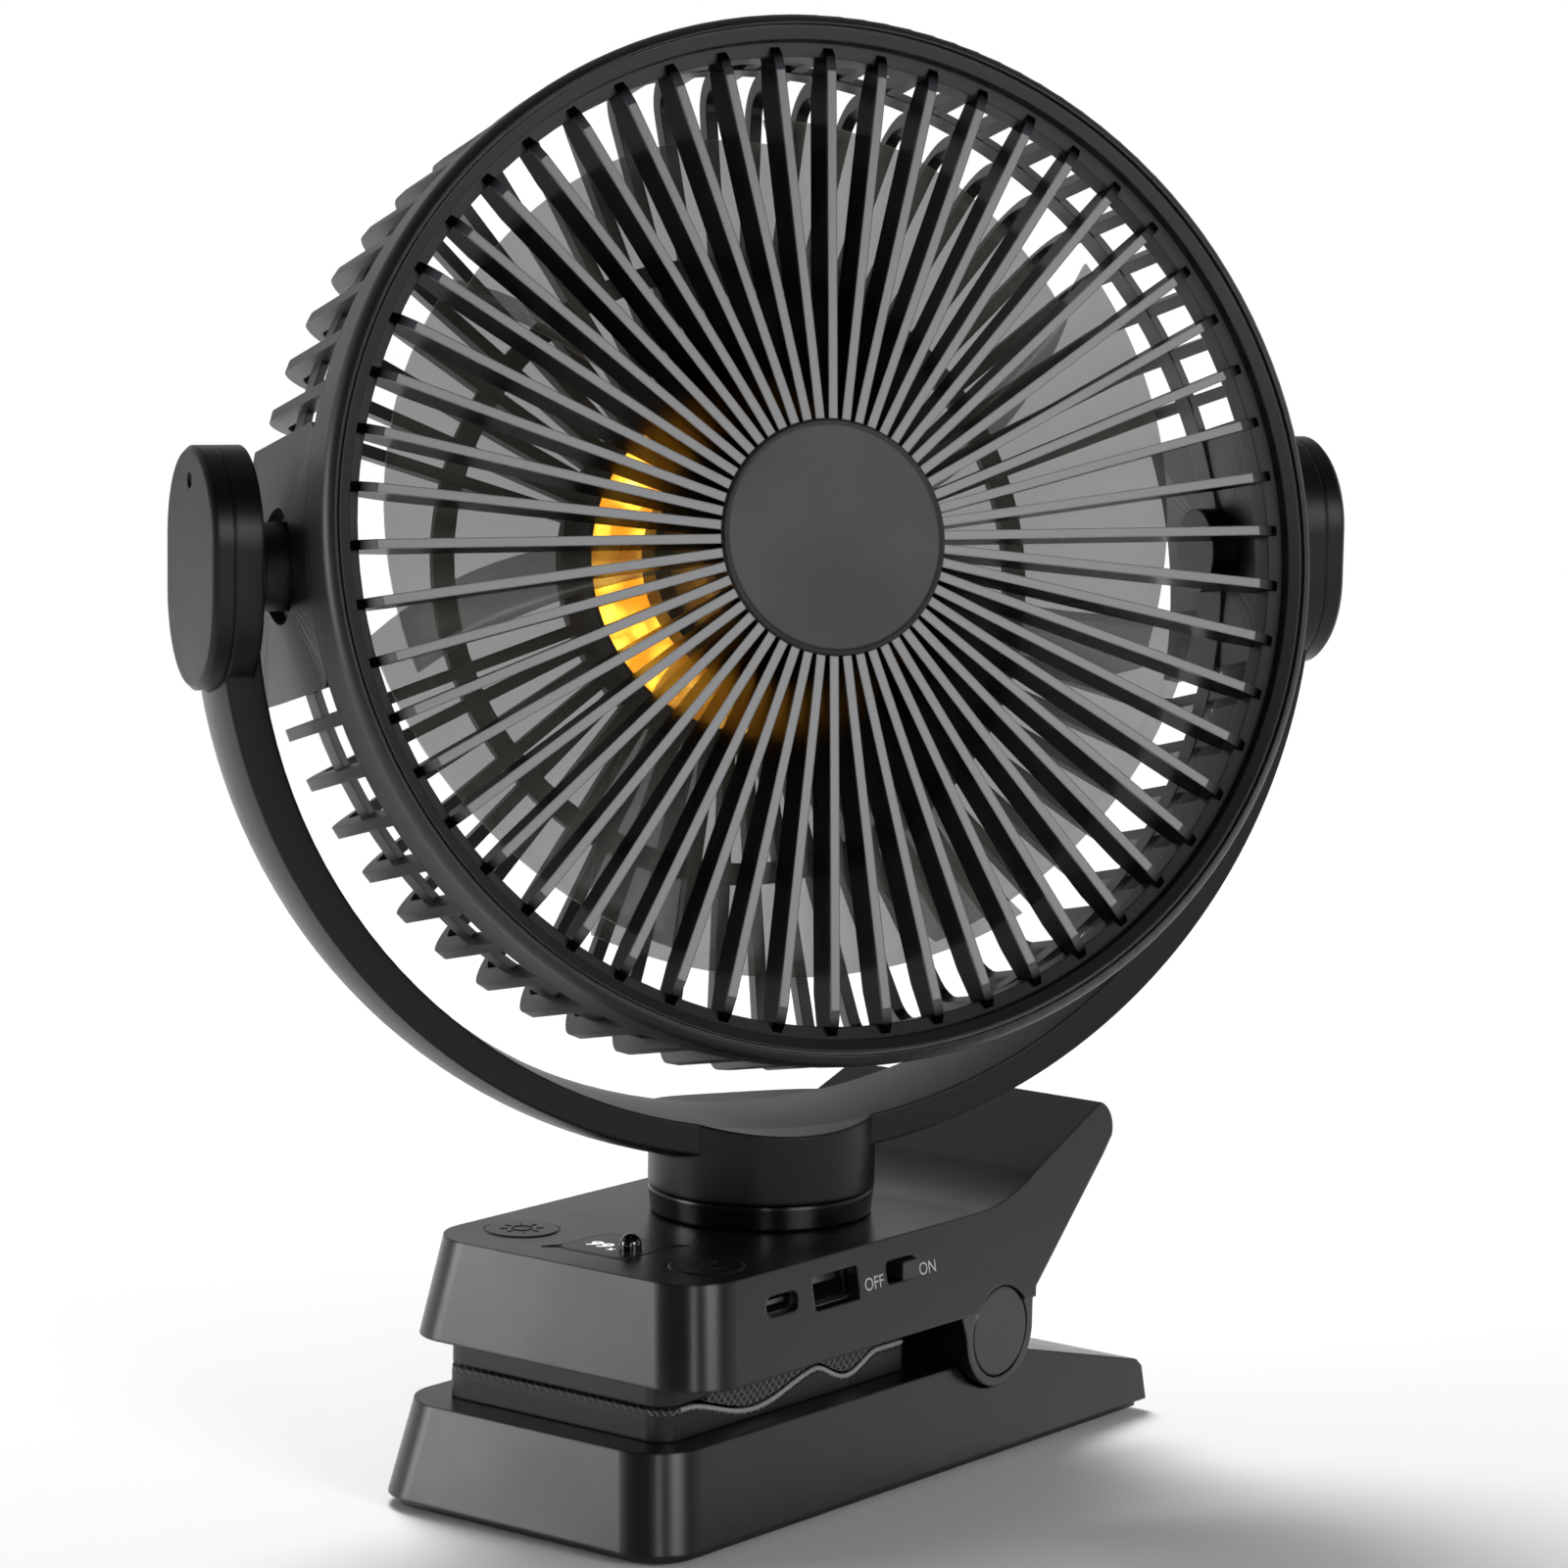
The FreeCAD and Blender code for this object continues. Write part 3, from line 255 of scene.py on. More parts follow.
vane_abs, tree, out = blank_material("smooth_black_abs_vanes")
place = add(tree, "ShaderNodeTexCoord").outputs["Object"]
from_centre = add(tree, "ShaderNodeVectorMath", {0: place, 1: head_centre}, operation="SUBTRACT")
forward = add(tree, "ShaderNodeVectorMath", {0: from_centre.outputs[0], 1: head_front},
              operation="DOT_PRODUCT")
# Painted highlight: a thin band at the front of the vanes is painted grey and given far more specular than
# the near-black sides.
black_to, painted_highlight_from = 0.0303, 0.0308  # in metres, from the middle of the head forwards
painted_highlight_share = add(tree, "ShaderNodeMapRange", {"Value": forward.outputs["Value"], "From Min": black_to,
                                              "From Max": painted_highlight_from})
grain = add(tree, "ShaderNodeTexNoise", {"Vector": place, "Scale": 1000 / 0.2, "Detail": 2.0})
soft_edge = add(tree, "ShaderNodeBevel", {"Radius": 0.0003}, samples=4)
relief = add(tree, "ShaderNodeBump", {"Height": grain.outputs["Fac"], "Distance": 0.000001, "Strength": 0.3,
                                      "Normal": soft_edge.outputs[0]})
tint = add(tree, "ShaderNodeMix", {0: painted_highlight_share.outputs[0], 6: shade("070708"), 7: shade("3f4044")},
           data_type="RGBA")
sheen = add(tree, "ShaderNodeMapRange", {"Value": grain.outputs["Fac"], "To Min": 0.24, "To Max": 0.27})
gloss = add(tree, "ShaderNodeMapRange", {"Value": painted_highlight_share.outputs[0], "To Min": 0.02, "To Max": 0.5})
surface = add(tree, "ShaderNodeBsdfPrincipled",
              {"Base Color": tint.outputs[2], "Roughness": sheen.outputs["Result"], "IOR": 1.53,
               "Specular IOR Level": gloss.outputs["Result"], "Normal": relief.outputs["Normal"]})
tree.links.new(surface.outputs[0], out.inputs["Surface"])
finish(["front_vanes"], vane_abs)


# Rear cage
# One black ABS moulding that meets the front rim: a narrow band, two side panels round
# the pivots, and ribs that turn in across the back to the ring on which the motor sits.
def ring_faces(loops, closed=True):
    """Vertices and faces of a skin through loops of points, each loop closed."""
    size = len(loops[0])
    vertices = [point for loop in loops for point in loop]
    faces = []
    for i in range(len(loops) if closed else len(loops) - 1):
        j = (i + 1) % len(loops)
        faces += [(i * size + k, i * size + (k + 1) % size, j * size + (k + 1) % size, j * size + k)
                  for k in range(size)]
    return vertices, faces


def join(parts):
    """One list of vertices and faces from several."""
    vertices, faces = [], []
    for more_vertices, more_faces in parts:
        start = len(vertices)
        vertices += more_vertices
        faces += [tuple(i + start for i in face) for face in more_faces]
    return vertices, faces


def outward(piece):
    """Turn the faces of a closed skin outwards."""
    skin = bmesh.new()
    skin.from_mesh(piece.data)
    bmesh.ops.recalc_face_normals(skin, faces=skin.faces)
    skin.to_mesh(piece.data)
    skin.free()


def turned(profile, steps=144):
    """Ring from a closed profile of (radius, height) pairs in millimetres."""
    return ring_faces([[(r * math.cos(a) / 1000, r * math.sin(a) / 1000, z / 1000) for r, z in profile]
                       for a in (i * math.tau / steps for i in range(steps))])


def band(inner, outer, low, high, steps=144):
    """Ring of rectangular section: radii and heights in millimetres."""
    return turned([(inner, low), (outer, low), (outer, high), (inner, high)], steps)


def ends_of(tree, inputs):
    """Named inputs and one geometry output of a new node tree, and their two nodes."""
    for label, kind in inputs.items():
        tree.interface.new_socket(label, in_out="INPUT", socket_type="NodeSocket" + kind)
    tree.interface.new_socket("Result", in_out="OUTPUT", socket_type="NodeSocketGeometry")
    return tree.nodes.new("NodeGroupInput"), tree.nodes.new("NodeGroupOutput")


def made_by(tree, source, name, values):
    """Plain mesh that a node tree makes from a source object, which is then removed."""
    modifier = source.modifiers.new(name, "NODES")
    modifier.node_group = tree
    sockets = {item.name: item.identifier for item in tree.interface.items_tree
               if item.in_out == "INPUT"}
    for label, value in values.items():
        modifier[sockets[label]] = value
    view = bpy.context.evaluated_depsgraph_get()
    mesh = bpy.data.meshes.new_from_object(source.evaluated_get(view))
    bpy.data.objects.remove(source)
    mesh.name = name
    piece = bpy.data.objects.new(name, mesh)
    bpy.context.scene.collection.objects.link(piece)
    return piece


def ring_of(name, part, count, spare, material, matrix):
    """Part repeated round an axis by Geometry Nodes.

    The places that are up to spare steps from a pivot stay empty, and at -1 none does.
    """
    tree = bpy.data.node_groups.new(name + "_nodes", "GeometryNodeTree")
    given, result = ends_of(tree, {"Part": "Geometry", "Count": "Int", "Empty places": "Int",
                                   "Material": "Material"})
    index = add(tree, "GeometryNodeInputIndex").outputs[0]
    half = add(tree, "ShaderNodeMath", {0: given.outputs["Count"], 1: 2.0}, operation="DIVIDE")
    place = add(tree, "ShaderNodeMath", {0: index, 1: half.outputs[0]}, operation="MODULO")
    mirror = add(tree, "ShaderNodeMath", {0: half.outputs[0], 1: place.outputs[0]}, operation="SUBTRACT")
    nearest = add(tree, "ShaderNodeMath", {0: place.outputs[0], 1: mirror.outputs[0]}, operation="MINIMUM")
    limit = add(tree, "ShaderNodeMath", {0: given.outputs["Empty places"], 1: 0.5}, operation="ADD")
    kept = add(tree, "ShaderNodeMath", {0: nearest.outputs[0], 1: limit.outputs[0]}, operation="GREATER_THAN")
    step = add(tree, "ShaderNodeMath", {0: math.tau, 1: given.outputs["Count"]}, operation="DIVIDE")
    angle = add(tree, "ShaderNodeMath", {0: index, 1: step.outputs[0]}, operation="MULTIPLY")
    turn = add(tree, "ShaderNodeCombineXYZ", {2: angle.outputs[0]})
    line = add(tree, "GeometryNodeMeshLine", {"Count": given.outputs["Count"], "Offset": (0, 0, 0)})
    copies = add(tree, "GeometryNodeInstanceOnPoints",
                 {"Points": line.outputs[0], "Selection": kept.outputs[0],
                  "Instance": given.outputs["Part"], "Rotation": turn.outputs[0]})
    solid = add(tree, "GeometryNodeRealizeInstances", {0: copies.outputs[0]})
    coloured = add(tree, "GeometryNodeSetMaterial", {"Geometry": solid.outputs[0],
                                                     "Material": given.outputs["Material"]})
    tree.links.new(coloured.outputs[0], result.inputs[0])
    source = mesh_piece(name + "_part", *part, material)
    outward(source)
    piece = made_by(tree, source, name, {"Count": count, "Empty places": spare, "Material": material})
    piece.data.transform(matrix)
    return piece


cage_radius, cage_back = 92.0, -21.0
rib_count, empty_by_pivot = 60, 2
rib_half_width, rib_depth = 0.0011, 3.4
rib_front, rib_end = 20.0, 31.5
outer_bend = 7.0
inner_bend = outer_bend - rib_depth
bend_radius, bend_height = cage_radius - outer_bend, cage_back + outer_bend
rib_line = [(cage_radius, rib_front), (cage_radius, bend_height)]
rib_line += [(bend_radius + outer_bend * math.cos(a), bend_height - outer_bend * math.sin(a))
             for a in (i * math.pi / 16 for i in range(1, 8))]
rib_line += [(bend_radius, cage_back), (rib_end, cage_back)]
rib_line += [(rib_end, cage_back + rib_depth), (bend_radius, cage_back + rib_depth)]
rib_line += [(bend_radius + inner_bend * math.cos(a), bend_height - inner_bend * math.sin(a))
             for a in (i * math.pi / 8 for i in (3, 2, 1))]
rib_line += [(cage_radius - rib_depth, bend_height), (cage_radius - rib_depth, rib_front)]
rib_points = [(r / 1000, side * rib_half_width, z / 1000) for side in (-1, 1) for r, z in rib_line]
rib_size = len(rib_line)
rib_faces = [tuple(range(rib_size)), tuple(range(2 * rib_size - 1, rib_size - 1, -1))]
rib_faces += [(i, i + rib_size, (i + 1) % rib_size + rib_size, (i + 1) % rib_size)
              for i in range(rib_size)]
cage_ribs = ring_of("rear_cage_ribs", (rib_points, rib_faces), rib_count, empty_by_pivot,
                    grille_abs, head_place)
wall_inside = 89.2
front_band = band(wall_inside, cage_radius, 19.5, 23.4)
side_band = band(88.5, 89.9, -3.0, 2.5)
back_band = band(54.0, 58.0, -20.6, -18.4, steps=96)
motor_seat = band(14.0, 34.0, cage_back, -18.0, steps=72)
cage_rings = [front_band, side_band, back_band, motor_seat]
pivot_bore, recess_reach, recess_floor = 7.8, 10.2, 90.4
panel_half_width, panel_front, panel_back, panel_steps = 23.1, 19.6, 21.0, 64
panel_section = [(pivot_bore, recess_floor), (recess_reach, recess_floor), (recess_reach, cage_radius),
                 (None, cage_radius), (None, wall_inside), (pivot_bore, wall_inside)]
panel_loops = []
for side in (0.0, math.pi):
    loops = []
    for reach, radius in panel_section:
        loop = []
        for k in range(panel_steps):
            a = (k + 0.5) * math.tau / panel_steps
            u, v = math.cos(a), math.sin(a)
            far = min(panel_half_width / abs(u), panel_front / v if v > 0 else panel_back / -v)
            along = reach or far
            turn = side + along * u / cage_radius
            loop.append((radius * math.cos(turn) / 1000, radius * math.sin(turn) / 1000, along * v / 1000))
        loops.append(loop)
    panel_loops.append(ring_faces(loops))
cage_frame = mesh_piece("rear_cage_frame", *join(cage_rings + panel_loops), grille_abs)
cage_frame.data.transform(head_place)
outward(cage_frame)
for piece in (cage_ribs, cage_frame):
    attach(piece, "fan_head")
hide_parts("rear_cage_side", "rear_cage_back")


# Impeller and motor
# Seven wide moulded blades of smoky grey polycarbonate, clear enough for lamps and ribs
# to show through, on a spinner that a nut holds to the shaft. The motor cup is matt black.
blade_pc = moulded("smoky_grey_polycarbonate", "6b6b64", 0.3, grain_mm=3.0, relief_mm=0.002, alpha=0.5)
finish(["impeller_nut"], blade_pc)
blade_count, blade_rows, blade_columns = 7, 15, 27
blade_root, blade_reach = 18.5, 57.5
root_span, span_loss, tip_lag = 70, 12, 0.22  # degrees, degrees and radians round the axis
blade_back, blade_rise, blade_bow = -2.4, 21.4, 1.6
blade_half_thick = 0.6
blade_loops = []
for row in range(blade_rows):
    radius = blade_root + blade_reach * row / (blade_rows - 1)
    span = math.radians(root_span - span_loss * row / (blade_rows - 1))
    lag = tip_lag * (row / (blade_rows - 1)) ** 1.5
    skin = []
    for lift, columns in ((blade_half_thick, range(blade_columns)),
                          (-blade_half_thick, range(blade_columns - 1, -1, -1))):
        for column in columns:
            share = column / (blade_columns - 1)
            turn = lag + span * (share - 0.5)
            height = blade_back + blade_rise * share + blade_bow * math.sin(math.pi * share) + lift
            skin.append((radius * math.cos(turn) / 1000, radius * math.sin(turn) / 1000, height / 1000))
    blade_loops.append(skin)
blade_points, blade_faces = ring_faces(blade_loops, closed=False)
blade_size = 2 * blade_columns
blade_end = (blade_rows - 1) * blade_size
blade_faces += [(start + i, start + i + 1, start + blade_size - 2 - i, start + blade_size - 1 - i)
                for start in (0, blade_end) for i in range(blade_columns - 1)]
fan_blades = ring_of("impeller_blades", (blade_points, blade_faces), blade_count, -1, blade_pc,
                     head_place)
fan_blades.data.polygons.foreach_set("use_smooth", [True] * len(fan_blades.data.polygons))
spinner_line = [(1.5, 2.0), (5.0, 2.0), (5.0, 15.4), (17.0, 15.4), (17.0, -1.5), (19.0, -1.5), (19.0, 15.0),
                (18.7, 16.6), (17.6, 17.6), (15.6, 18.0), (1.5, 18.0)]
spinner = mesh_piece("impeller_spinner", *turned(spinner_line, 96), blade_pc)
spinner.data.transform(head_place)
outward(spinner)
for piece in (fan_blades, spinner):
    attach(piece, "rotor")
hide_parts("impeller")
motor_abs = moulded("matt_black_motor_cup", "1a1a1a", 0.5)
finish(["motor_housing"], motor_abs)


# Lamps
# Amber lamps soldered to a white board, under an acrylic ring with a painted glow in patches that stands in
# for their light spreading through it.
lamp_material, tree, out = blank_material("lit_amber_lamps")
place = add(tree, "ShaderNodeTexCoord").outputs["Object"]
mottles_per_mm = 0.9
mottle = add(tree, "ShaderNodeTexNoise", {"Vector": place, "Scale": 1000 * mottles_per_mm})
ramp = add(tree, "ShaderNodeValToRGB", {"Fac": mottle.outputs["Fac"]})
ramp.color_ramp.elements[0].color = shade("ffa31a")
ramp.color_ramp.elements[1].color = shade("ffd76a")
glow = add(tree, "ShaderNodeEmission", {"Color": ramp.outputs["Color"], "Strength": 60.0})
tree.links.new(glow.outputs[0], out.inputs["Surface"])
finish(["led_lamps"], lamp_material)
board_material = moulded("white_solder_mask", "d8d4c4", 0.35)
finish(["led_board", "control_board"], board_material)
# The ring shows mostly a painted glow, in patches from pale to deep amber, standing in for the lamps' light.
ripple_mm, patch_mm = 2.0, 7.0
lens_material, tree, out = blank_material("clear_acrylic_ring_painted_glow")
place = add(tree, "ShaderNodeTexCoord").outputs["Object"]
ripple = add(tree, "ShaderNodeTexNoise", {"Vector": place, "Scale": 1000 / ripple_mm})
relief = add(tree, "ShaderNodeBump", {"Height": ripple.outputs["Fac"], "Distance": 0.0001, "Strength": 0.4})
clear = add(tree, "ShaderNodeBsdfPrincipled", {"Base Color": shade("fff3dc"), "Roughness": 0.35,
                                               "Transmission Weight": 1.0, "IOR": 1.49,
                                               "Normal": relief.outputs["Normal"]})
patches = add(tree, "ShaderNodeTexVoronoi", {"Vector": place, "Scale": 1000 / patch_mm, "Randomness": 0.6})
painted_glow_tone = add(tree, "ShaderNodeMapRange", {"Value": patches.outputs["Distance"], "From Max": 0.6})
tones = add(tree, "ShaderNodeValToRGB", {"Fac": painted_glow_tone.outputs["Result"]})
tones.color_ramp.elements[0].color = shade("fff2b0")
tones.color_ramp.elements[1].color = shade("b06a10")
half_way = tones.color_ramp.elements.new(0.45)
half_way.color = shade("ffc23c")
# Painted glow: an emission on the acrylic, which is no lamp itself.
painted_glow = add(tree, "ShaderNodeEmission", {"Color": tones.outputs["Color"], "Strength": 11.0})
lamp_ring = add(tree, "ShaderNodeMixShader", {0: 0.7, 1: clear.outputs[0], 2: painted_glow.outputs[0]})
tree.links.new(lamp_ring.outputs[0], out.inputs["Surface"])
finish(["led_diffuser"], lens_material)


# Metal parts
# A plated steel pin, screws, shaft and bearings, pressed nickel shells in the two sockets
# and the motor's copper winding. Their fine drawing marks blur the reflections a little.
def metal(name, code, roughness, scale_mm=0.8):
    """Plated metal with fine drawing marks."""
    material, tree, out = blank_material(name)
    place = add(tree, "ShaderNodeTexCoord").outputs["Object"]
    marks = add(tree, "ShaderNodeTexNoise", {"Vector": place, "Scale": 1000 / scale_mm, "Detail": 3.0})
    sheen = add(tree, "ShaderNodeMapRange", {"Value": marks.outputs["Fac"], "To Min": roughness - 0.06,
                                             "To Max": roughness + 0.1})
    relief = add(tree, "ShaderNodeBump", {"Height": marks.outputs["Fac"], "Distance": 0.00001,
                                          "Strength": 0.3})
    surface = add(tree, "ShaderNodeBsdfPrincipled", {"Base Color": shade(code), "Metallic": 1.0,
                                                     "Roughness": sheen.outputs["Result"],
                                                     "Normal": relief.outputs["Normal"]})
    tree.links.new(surface.outputs[0], out.inputs["Surface"])
    return material


plated_steel = metal("zinc_plated_steel", "b9bcc0", 0.3)
finish(["hinge_pin", "cover_screws", "rotor_shaft", "motor_bearings"], plated_steel)
socket_steel = metal("dull_nickel_shells", "6d6e70", 0.35)
finish(["usb_a_socket", "usb_c_socket"], socket_steel)
winding = metal("enamelled_copper_wire", "b5652c", 0.4)
finish(["motor_stator"], winding)


# Rubber feet and pads
# Moulded pads on the two carriers: black rubber, and grey silicone where they grip, in
# two valleys for round rails. A raised net shows as light lines on a near black ground,
# and light lips edge the lower pad. The feet are matt black.
foot_rubber = moulded("black_rubber_feet", "202021", 0.7)
finish(["rubber_feet"], foot_rubber)
pad_black = moulded("black_rubber_pad_blocks", "121212", 0.45)
lip_grey = moulded("light_grey_silicone_lips", "a9a9ab", 0.45, grain_mm=0.6)
net_grey, tree, out = blank_material("grey_silicone_net")
place = add(tree, "ShaderNodeTexCoord").outputs["Object"]
axes = add(tree, "ShaderNodeSeparateXYZ", {0: place})
across = add(tree, "ShaderNodeMath", {0: axes.outputs["X"], 1: axes.outputs["Z"]}, operation="ADD")
net_mesh = 0.0009
waves = []
for way in ("ADD", "SUBTRACT"):
    slant = add(tree, "ShaderNodeMath", {0: axes.outputs["Y"], 1: across.outputs[0]}, operation=way)
    folded = add(tree, "ShaderNodeMath", {0: slant.outputs[0], 1: net_mesh}, operation="PINGPONG")
    waves.append(folded.outputs[0])
valley = add(tree, "ShaderNodeMath", {0: waves[0], 1: waves[1]}, operation="MINIMUM")
line = add(tree, "ShaderNodeMapRange", {"Value": valley.outputs[0], "From Min": 0.0001, "From Max": 0.00035,
                                        "To Min": 1.0, "To Max": 0.0}, interpolation_type="SMOOTHSTEP")
tint = add(tree, "ShaderNodeMix", {0: line.outputs[0], 6: shade("1a1a1b"), 7: shade("6a6a6c")},
           data_type="RGBA")
relief = add(tree, "ShaderNodeBump", {"Height": line.outputs[0], "Distance": 0.0003, "Strength": 0.8})
surface = add(tree, "ShaderNodeBsdfPrincipled", {"Base Color": tint.outputs[2], "Roughness": 0.5,
                                                 "Normal": relief.outputs["Normal"]})
tree.links.new(surface.outputs[0], out.inputs["Surface"])


def pad_line(y):
    """Height of the meeting line of the pads in millimetres: two valleys for round rails."""
    meeting_height = 24.9
    for start, end, depth in ((-51.5, -15.5, 3.8), (-15.5, 2.5, 3.1)):
        if start < y < end:
            wave = 0.5 - 0.5 * math.cos(math.tau * (y - start) / (end - start))
            return meeting_height - depth * wave ** 0.8
    return meeting_height


def loaf(rows, half, corner, low, high):
    """Block along Y: rows of y in millimetres, rounded front corners, low and high heights from y."""
    loops = []
    for y in rows:
        inset = corner - (y - rows[0])
        side = half - (corner - math.sqrt(corner ** 2 - inset ** 2) if 0 < inset <= corner else 0)
        loops.append([(x / 1000 + clip_middle, y / 1000, z / 1000)
                      for x, z in ((-side, low(y)), (side, low(y)), (side, high(y)), (-side, high(y)))])
    vertices, faces = ring_faces(loops, closed=False)
    last = len(vertices)
    return vertices, faces + [(0, 1, 2, 3), (last - 1, last - 2, last - 3, last - 4)]


def block(name, part, material, body):
    """Closed piece that rides on a body."""
    piece = mesh_piece(name, *part, material)
    outward(piece)
    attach(piece, body)
    return piece


def tube(name, lines, radius, material, body, sides=8):
    """Round bead along lines of points in metres, swept by Geometry Nodes."""
    tree = bpy.data.node_groups.new(name + "_nodes", "GeometryNodeTree")
    given, result = ends_of(tree, {"Line": "Geometry", "Radius": "Float", "Sides": "Int",
                                   "Material": "Material"})
    curve = add(tree, "GeometryNodeMeshToCurve", {0: given.outputs["Line"]})
    section = add(tree, "GeometryNodeCurvePrimitiveCircle",
                  {"Resolution": given.outputs["Sides"], "Radius": given.outputs["Radius"]})
    bead = add(tree, "GeometryNodeCurveToMesh",
               {"Curve": curve.outputs[0], "Profile Curve": section.outputs[0], "Fill Caps": True})
    solid = add(tree, "GeometryNodeRealizeInstances", {0: bead.outputs[0]})
    coloured = add(tree, "GeometryNodeSetMaterial", {"Geometry": solid.outputs[0],
                                                     "Material": given.outputs["Material"]})
    tree.links.new(coloured.outputs[0], result.inputs[0])
    mesh = bpy.data.meshes.new(name + "_line")
    points, edges = [], []
    for line in lines:
        start = len(points)
        points += [tuple(point) for point in line]
        edges += [(i, i + 1) for i in range(start, len(points) - 1)]
    mesh.from_pydata(points, edges, [])
    source = bpy.data.objects.new(name + "_line", mesh)
    bpy.context.scene.collection.objects.link(source)
    piece = made_by(tree, source, name, {"Radius": radius, "Sides": sides, "Material": material})
    outward(piece)
    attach(piece, body)
    return piece


corner_rows = [-58.5 + 0.3 * i for i in range(14)]
valley_rows = [-54 + 0.5 * i for i in range(129)]
pad_rows = corner_rows + valley_rows
front_rows = 30
pad_corner = 4.0
lower_seat, upper_seat = 19.3, 29.3
skin_depth, skin_top, upper_gap = 1.0, 0.1, 0.6
lower_part = loaf(pad_rows, 25.5, pad_corner, lambda y: lower_seat, lambda y: pad_line(y) - skin_depth)
lower_block = block("lower_pad_block", lower_part, pad_black, "clip_base")
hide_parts("lower_pad")
lower_skin = loaf(pad_rows, 25.4, pad_corner, lambda y: pad_line(y) - skin_depth,
                  lambda y: pad_line(y) - skin_top)
block("lower_pad_net", lower_skin, net_grey, "clip_base")
upper_part = loaf(pad_rows[:front_rows], 25.3, pad_corner, lambda y: 25.5, lambda y: upper_seat)
upper_block = block("upper_pad_front", upper_part, pad_black, "upper_jaw")
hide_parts("upper_pad")
upper_skin = loaf(pad_rows[front_rows - 1:], 25.2, 0.01, lambda y: pad_line(y) + upper_gap,
                  lambda y: upper_seat)
block("upper_pad_net", upper_skin, net_grey, "upper_jaw")
lip_side, lip_drop, lip_radius = 0.0252, 0.35, 0.00045
lip_lines = [[(side * lip_side + clip_middle, y / 1000, (pad_line(y) - lip_drop) / 1000) for y in valley_rows]
             for side in (-1, 1)]
tube("lower_pad_lips", lip_lines, lip_radius, lip_grey, "clip_base")


# Torsion spring
# Plated steel wire wound in seven turns round the hinge pin. Its two legs, which press
# on the jaws, are out of sight and left out.
coil_turns, coil_steps, coil_length = 7, 160, 17
coil_radius, wire_radius = 0.0051, 0.0008
hinge_y, hinge_z = 0.0285, 0.0246
coil = [((i / coil_steps * coil_length - coil_length / 2) / 1000 + clip_middle,
         hinge_y + coil_radius * math.cos(i / coil_steps * math.tau * coil_turns),
         hinge_z + coil_radius * math.sin(i / coil_steps * math.tau * coil_turns))
        for i in range(coil_steps + 1)]
spring = tube("torsion_spring_coil", [coil], wire_radius, plated_steel, "clip_base")
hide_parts("torsion_spring")


# Battery, display and receiver
# Two flat cells in glossy blue film lie inside the housing. Let into its deck are a dark
# smoked window and, over the receiver, a black dome polished until it mirrors.
wrap = moulded("blue_film_wrap", "2f4a6b", 0.3)
finish(["battery_pack"], wrap)
window_material = moulded("smoked_window", "19191a", 0.3, edge_mm=0.2)
finish(["display_window"], window_material)
dome_material = moulded("polished_black_dome", "050505", 0.06, relief_mm=0.0005, edge_mm=0.1, coat=1.0)
finish(["receiver_dome"], dome_material)


# Printing and engraving
# Plain white words are printed on the side wall beside the switch, white digits glow at the face of the
# window, and thin black lines run round it and on the two keys: painted shade in engraved grooves.
def lettering(name, words, height, place, right, up, material, body):
    """Flat letters as a thin mesh: height of a capital in metres, place of the lower left corner."""
    capital_share, ink_thickness = 0.7, 0.00003
    text = bpy.data.curves.new(name + "_text", "FONT")
    text.body = words
    text.size = height / capital_share
    text.extrude = ink_thickness
    source = bpy.data.objects.new(name + "_text", text)
    bpy.context.scene.collection.objects.link(source)
    view = bpy.context.evaluated_depsgraph_get()
    mesh = bpy.data.meshes.new_from_object(source.evaluated_get(view))
    bpy.data.objects.remove(source)
    right, up = Vector(right).normalized(), Vector(up).normalized()
    turn = Matrix((right, up, right.cross(up))).transposed().to_4x4()
    turn.translation = Vector(place)
    mesh.transform(turn)
    mesh.materials.clear()
    mesh.materials.append(material)
    mesh.name = name
    piece = bpy.data.objects.new(name, mesh)
    bpy.context.scene.collection.objects.link(piece)
    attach(piece, body)
    return piece


white_ink = moulded("white_printed_ink", "d9d9d9", 0.5, grain_mm=0.3, relief_mm=0.002)
wall_x, word_foot, word_height = 0.03335 + clip_middle, 0.0392, 0.0023
wall_along, wall_up = (0, 1, 0), (-0.162, 0.0, 1.0)
lettering("off_word", "OFF", word_height, (wall_x, -0.0121, word_foot), wall_along, wall_up, white_ink,
          "upper_jaw")
lettering("on_word", "ON", word_height, (wall_x, 0.0042, word_foot), wall_along, wall_up, white_ink,
          "upper_jaw")
lit_white, tree, out = blank_material("lit_white_digits")
place = add(tree, "ShaderNodeTexCoord").outputs["Object"]
mottles_per_mm = 3.0
mottle = add(tree, "ShaderNodeTexNoise", {"Vector": place, "Scale": 1000 * mottles_per_mm})
ramp = add(tree, "ShaderNodeValToRGB", {"Fac": mottle.outputs["Fac"]})
ramp.color_ramp.elements[0].color = shade("dfe6ee")
ramp.color_ramp.elements[1].color = shade("ffffff")
glow = add(tree, "ShaderNodeEmission", {"Color": ramp.outputs["Color"], "Strength": 1.6})
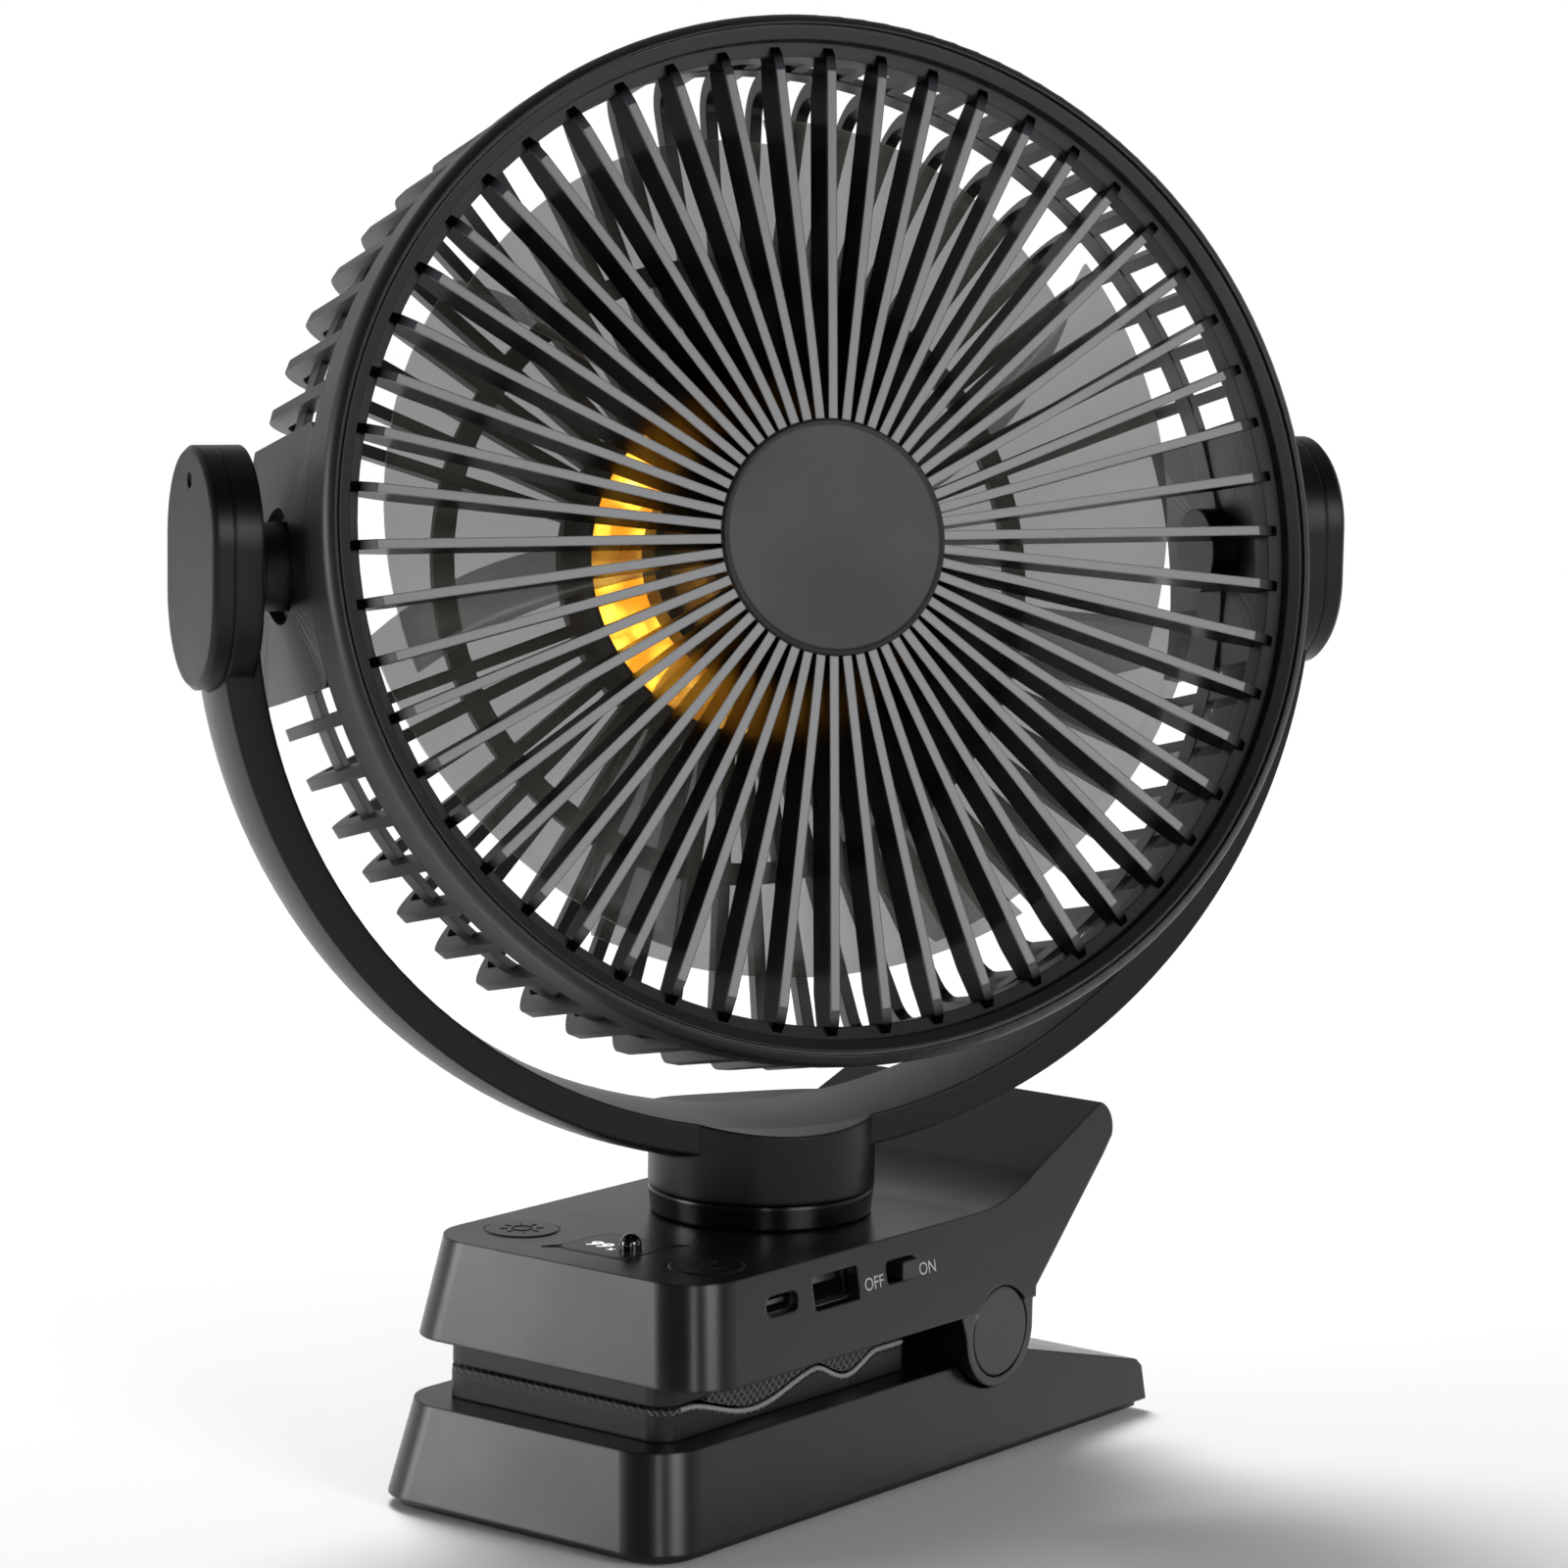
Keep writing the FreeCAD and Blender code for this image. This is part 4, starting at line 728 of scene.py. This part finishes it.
tree.links.new(glow.outputs[0], out.inputs["Surface"])
window_face = 0.0474
digit_along, digit_lean = (1, 0, 0), (0.2, 1, 0)
lettering("display_digits", "99", 0.0034, (-0.0056 + clip_middle, -0.0440, window_face), digit_along,
          digit_lean, lit_white, "upper_jaw")
lettering("display_percent", "%", 0.0013, (0.0002 + clip_middle, -0.0446, window_face), digit_along,
          digit_lean, lit_white, "upper_jaw")
# Painted shade: the engraved lines are drawn as thin near-black beads, darker than the plastic they are cut
# in.
groove_shade = moulded("engraved_lines_painted_shade", "060606", 0.5)
corners = [(-9.8, -50.2), (-7.2, -48.2), (5.2, -48.2), (6.4, -47.0), (6.6, -36.4), (9.4, -32.4)]
corners += [(5.8, -34.4), (-6.4, -34.4), (-7.6, -35.6), (-7.8, -46.6), (-9.8, -50.2)]
groove_radius, outline_height, key_height = 0.00012, 0.04731, 0.04751
outline = [(x / 1000 + clip_middle, y / 1000, outline_height) for x, y in corners]
tube("display_outline", [outline], groove_radius, groove_shade, "upper_jaw", sides=6)


def key_arc(x, y, radius, steps=24, start=0.0, share=1.0):
    """Points of a circle or arc on a key, in metres."""
    return [(x / 1000 + clip_middle + radius / 1000 * math.cos(start + math.tau * share * i / steps),
             y / 1000 + radius / 1000 * math.sin(start + math.tau * share * i / steps), key_height)
            for i in range(steps + 1)]


key_x, key_y = 21.2, -42.3
sun_radius, ray_start, ray_end, ray_count = 1.8, 2.6, 3.9, 8
sun_rays = [[key_arc(-key_x, key_y, reach, 1, a)[0] for reach in (ray_start, ray_end)]
            for a in (i * math.tau / ray_count for i in range(ray_count))]
tube("lamp_sign", [key_arc(-key_x, key_y, sun_radius)] + sun_rays, groove_radius, groove_shade, "light_key",
     sides=6)
hub_radius, leaf_place, leaf_radius, leaf_count = 0.7, 1.9, 1.5, 3
leaves = [key_arc(key_x + leaf_place * math.cos(a), key_y + leaf_place * math.sin(a), leaf_radius,
                  14, a + 2.4, 0.7) for a in (i * math.tau / leaf_count for i in range(leaf_count))]
tube("fan_sign", [key_arc(key_x, key_y, hub_radius, 12)] + leaves, groove_radius, groove_shade, "fan_key",
     sides=6)
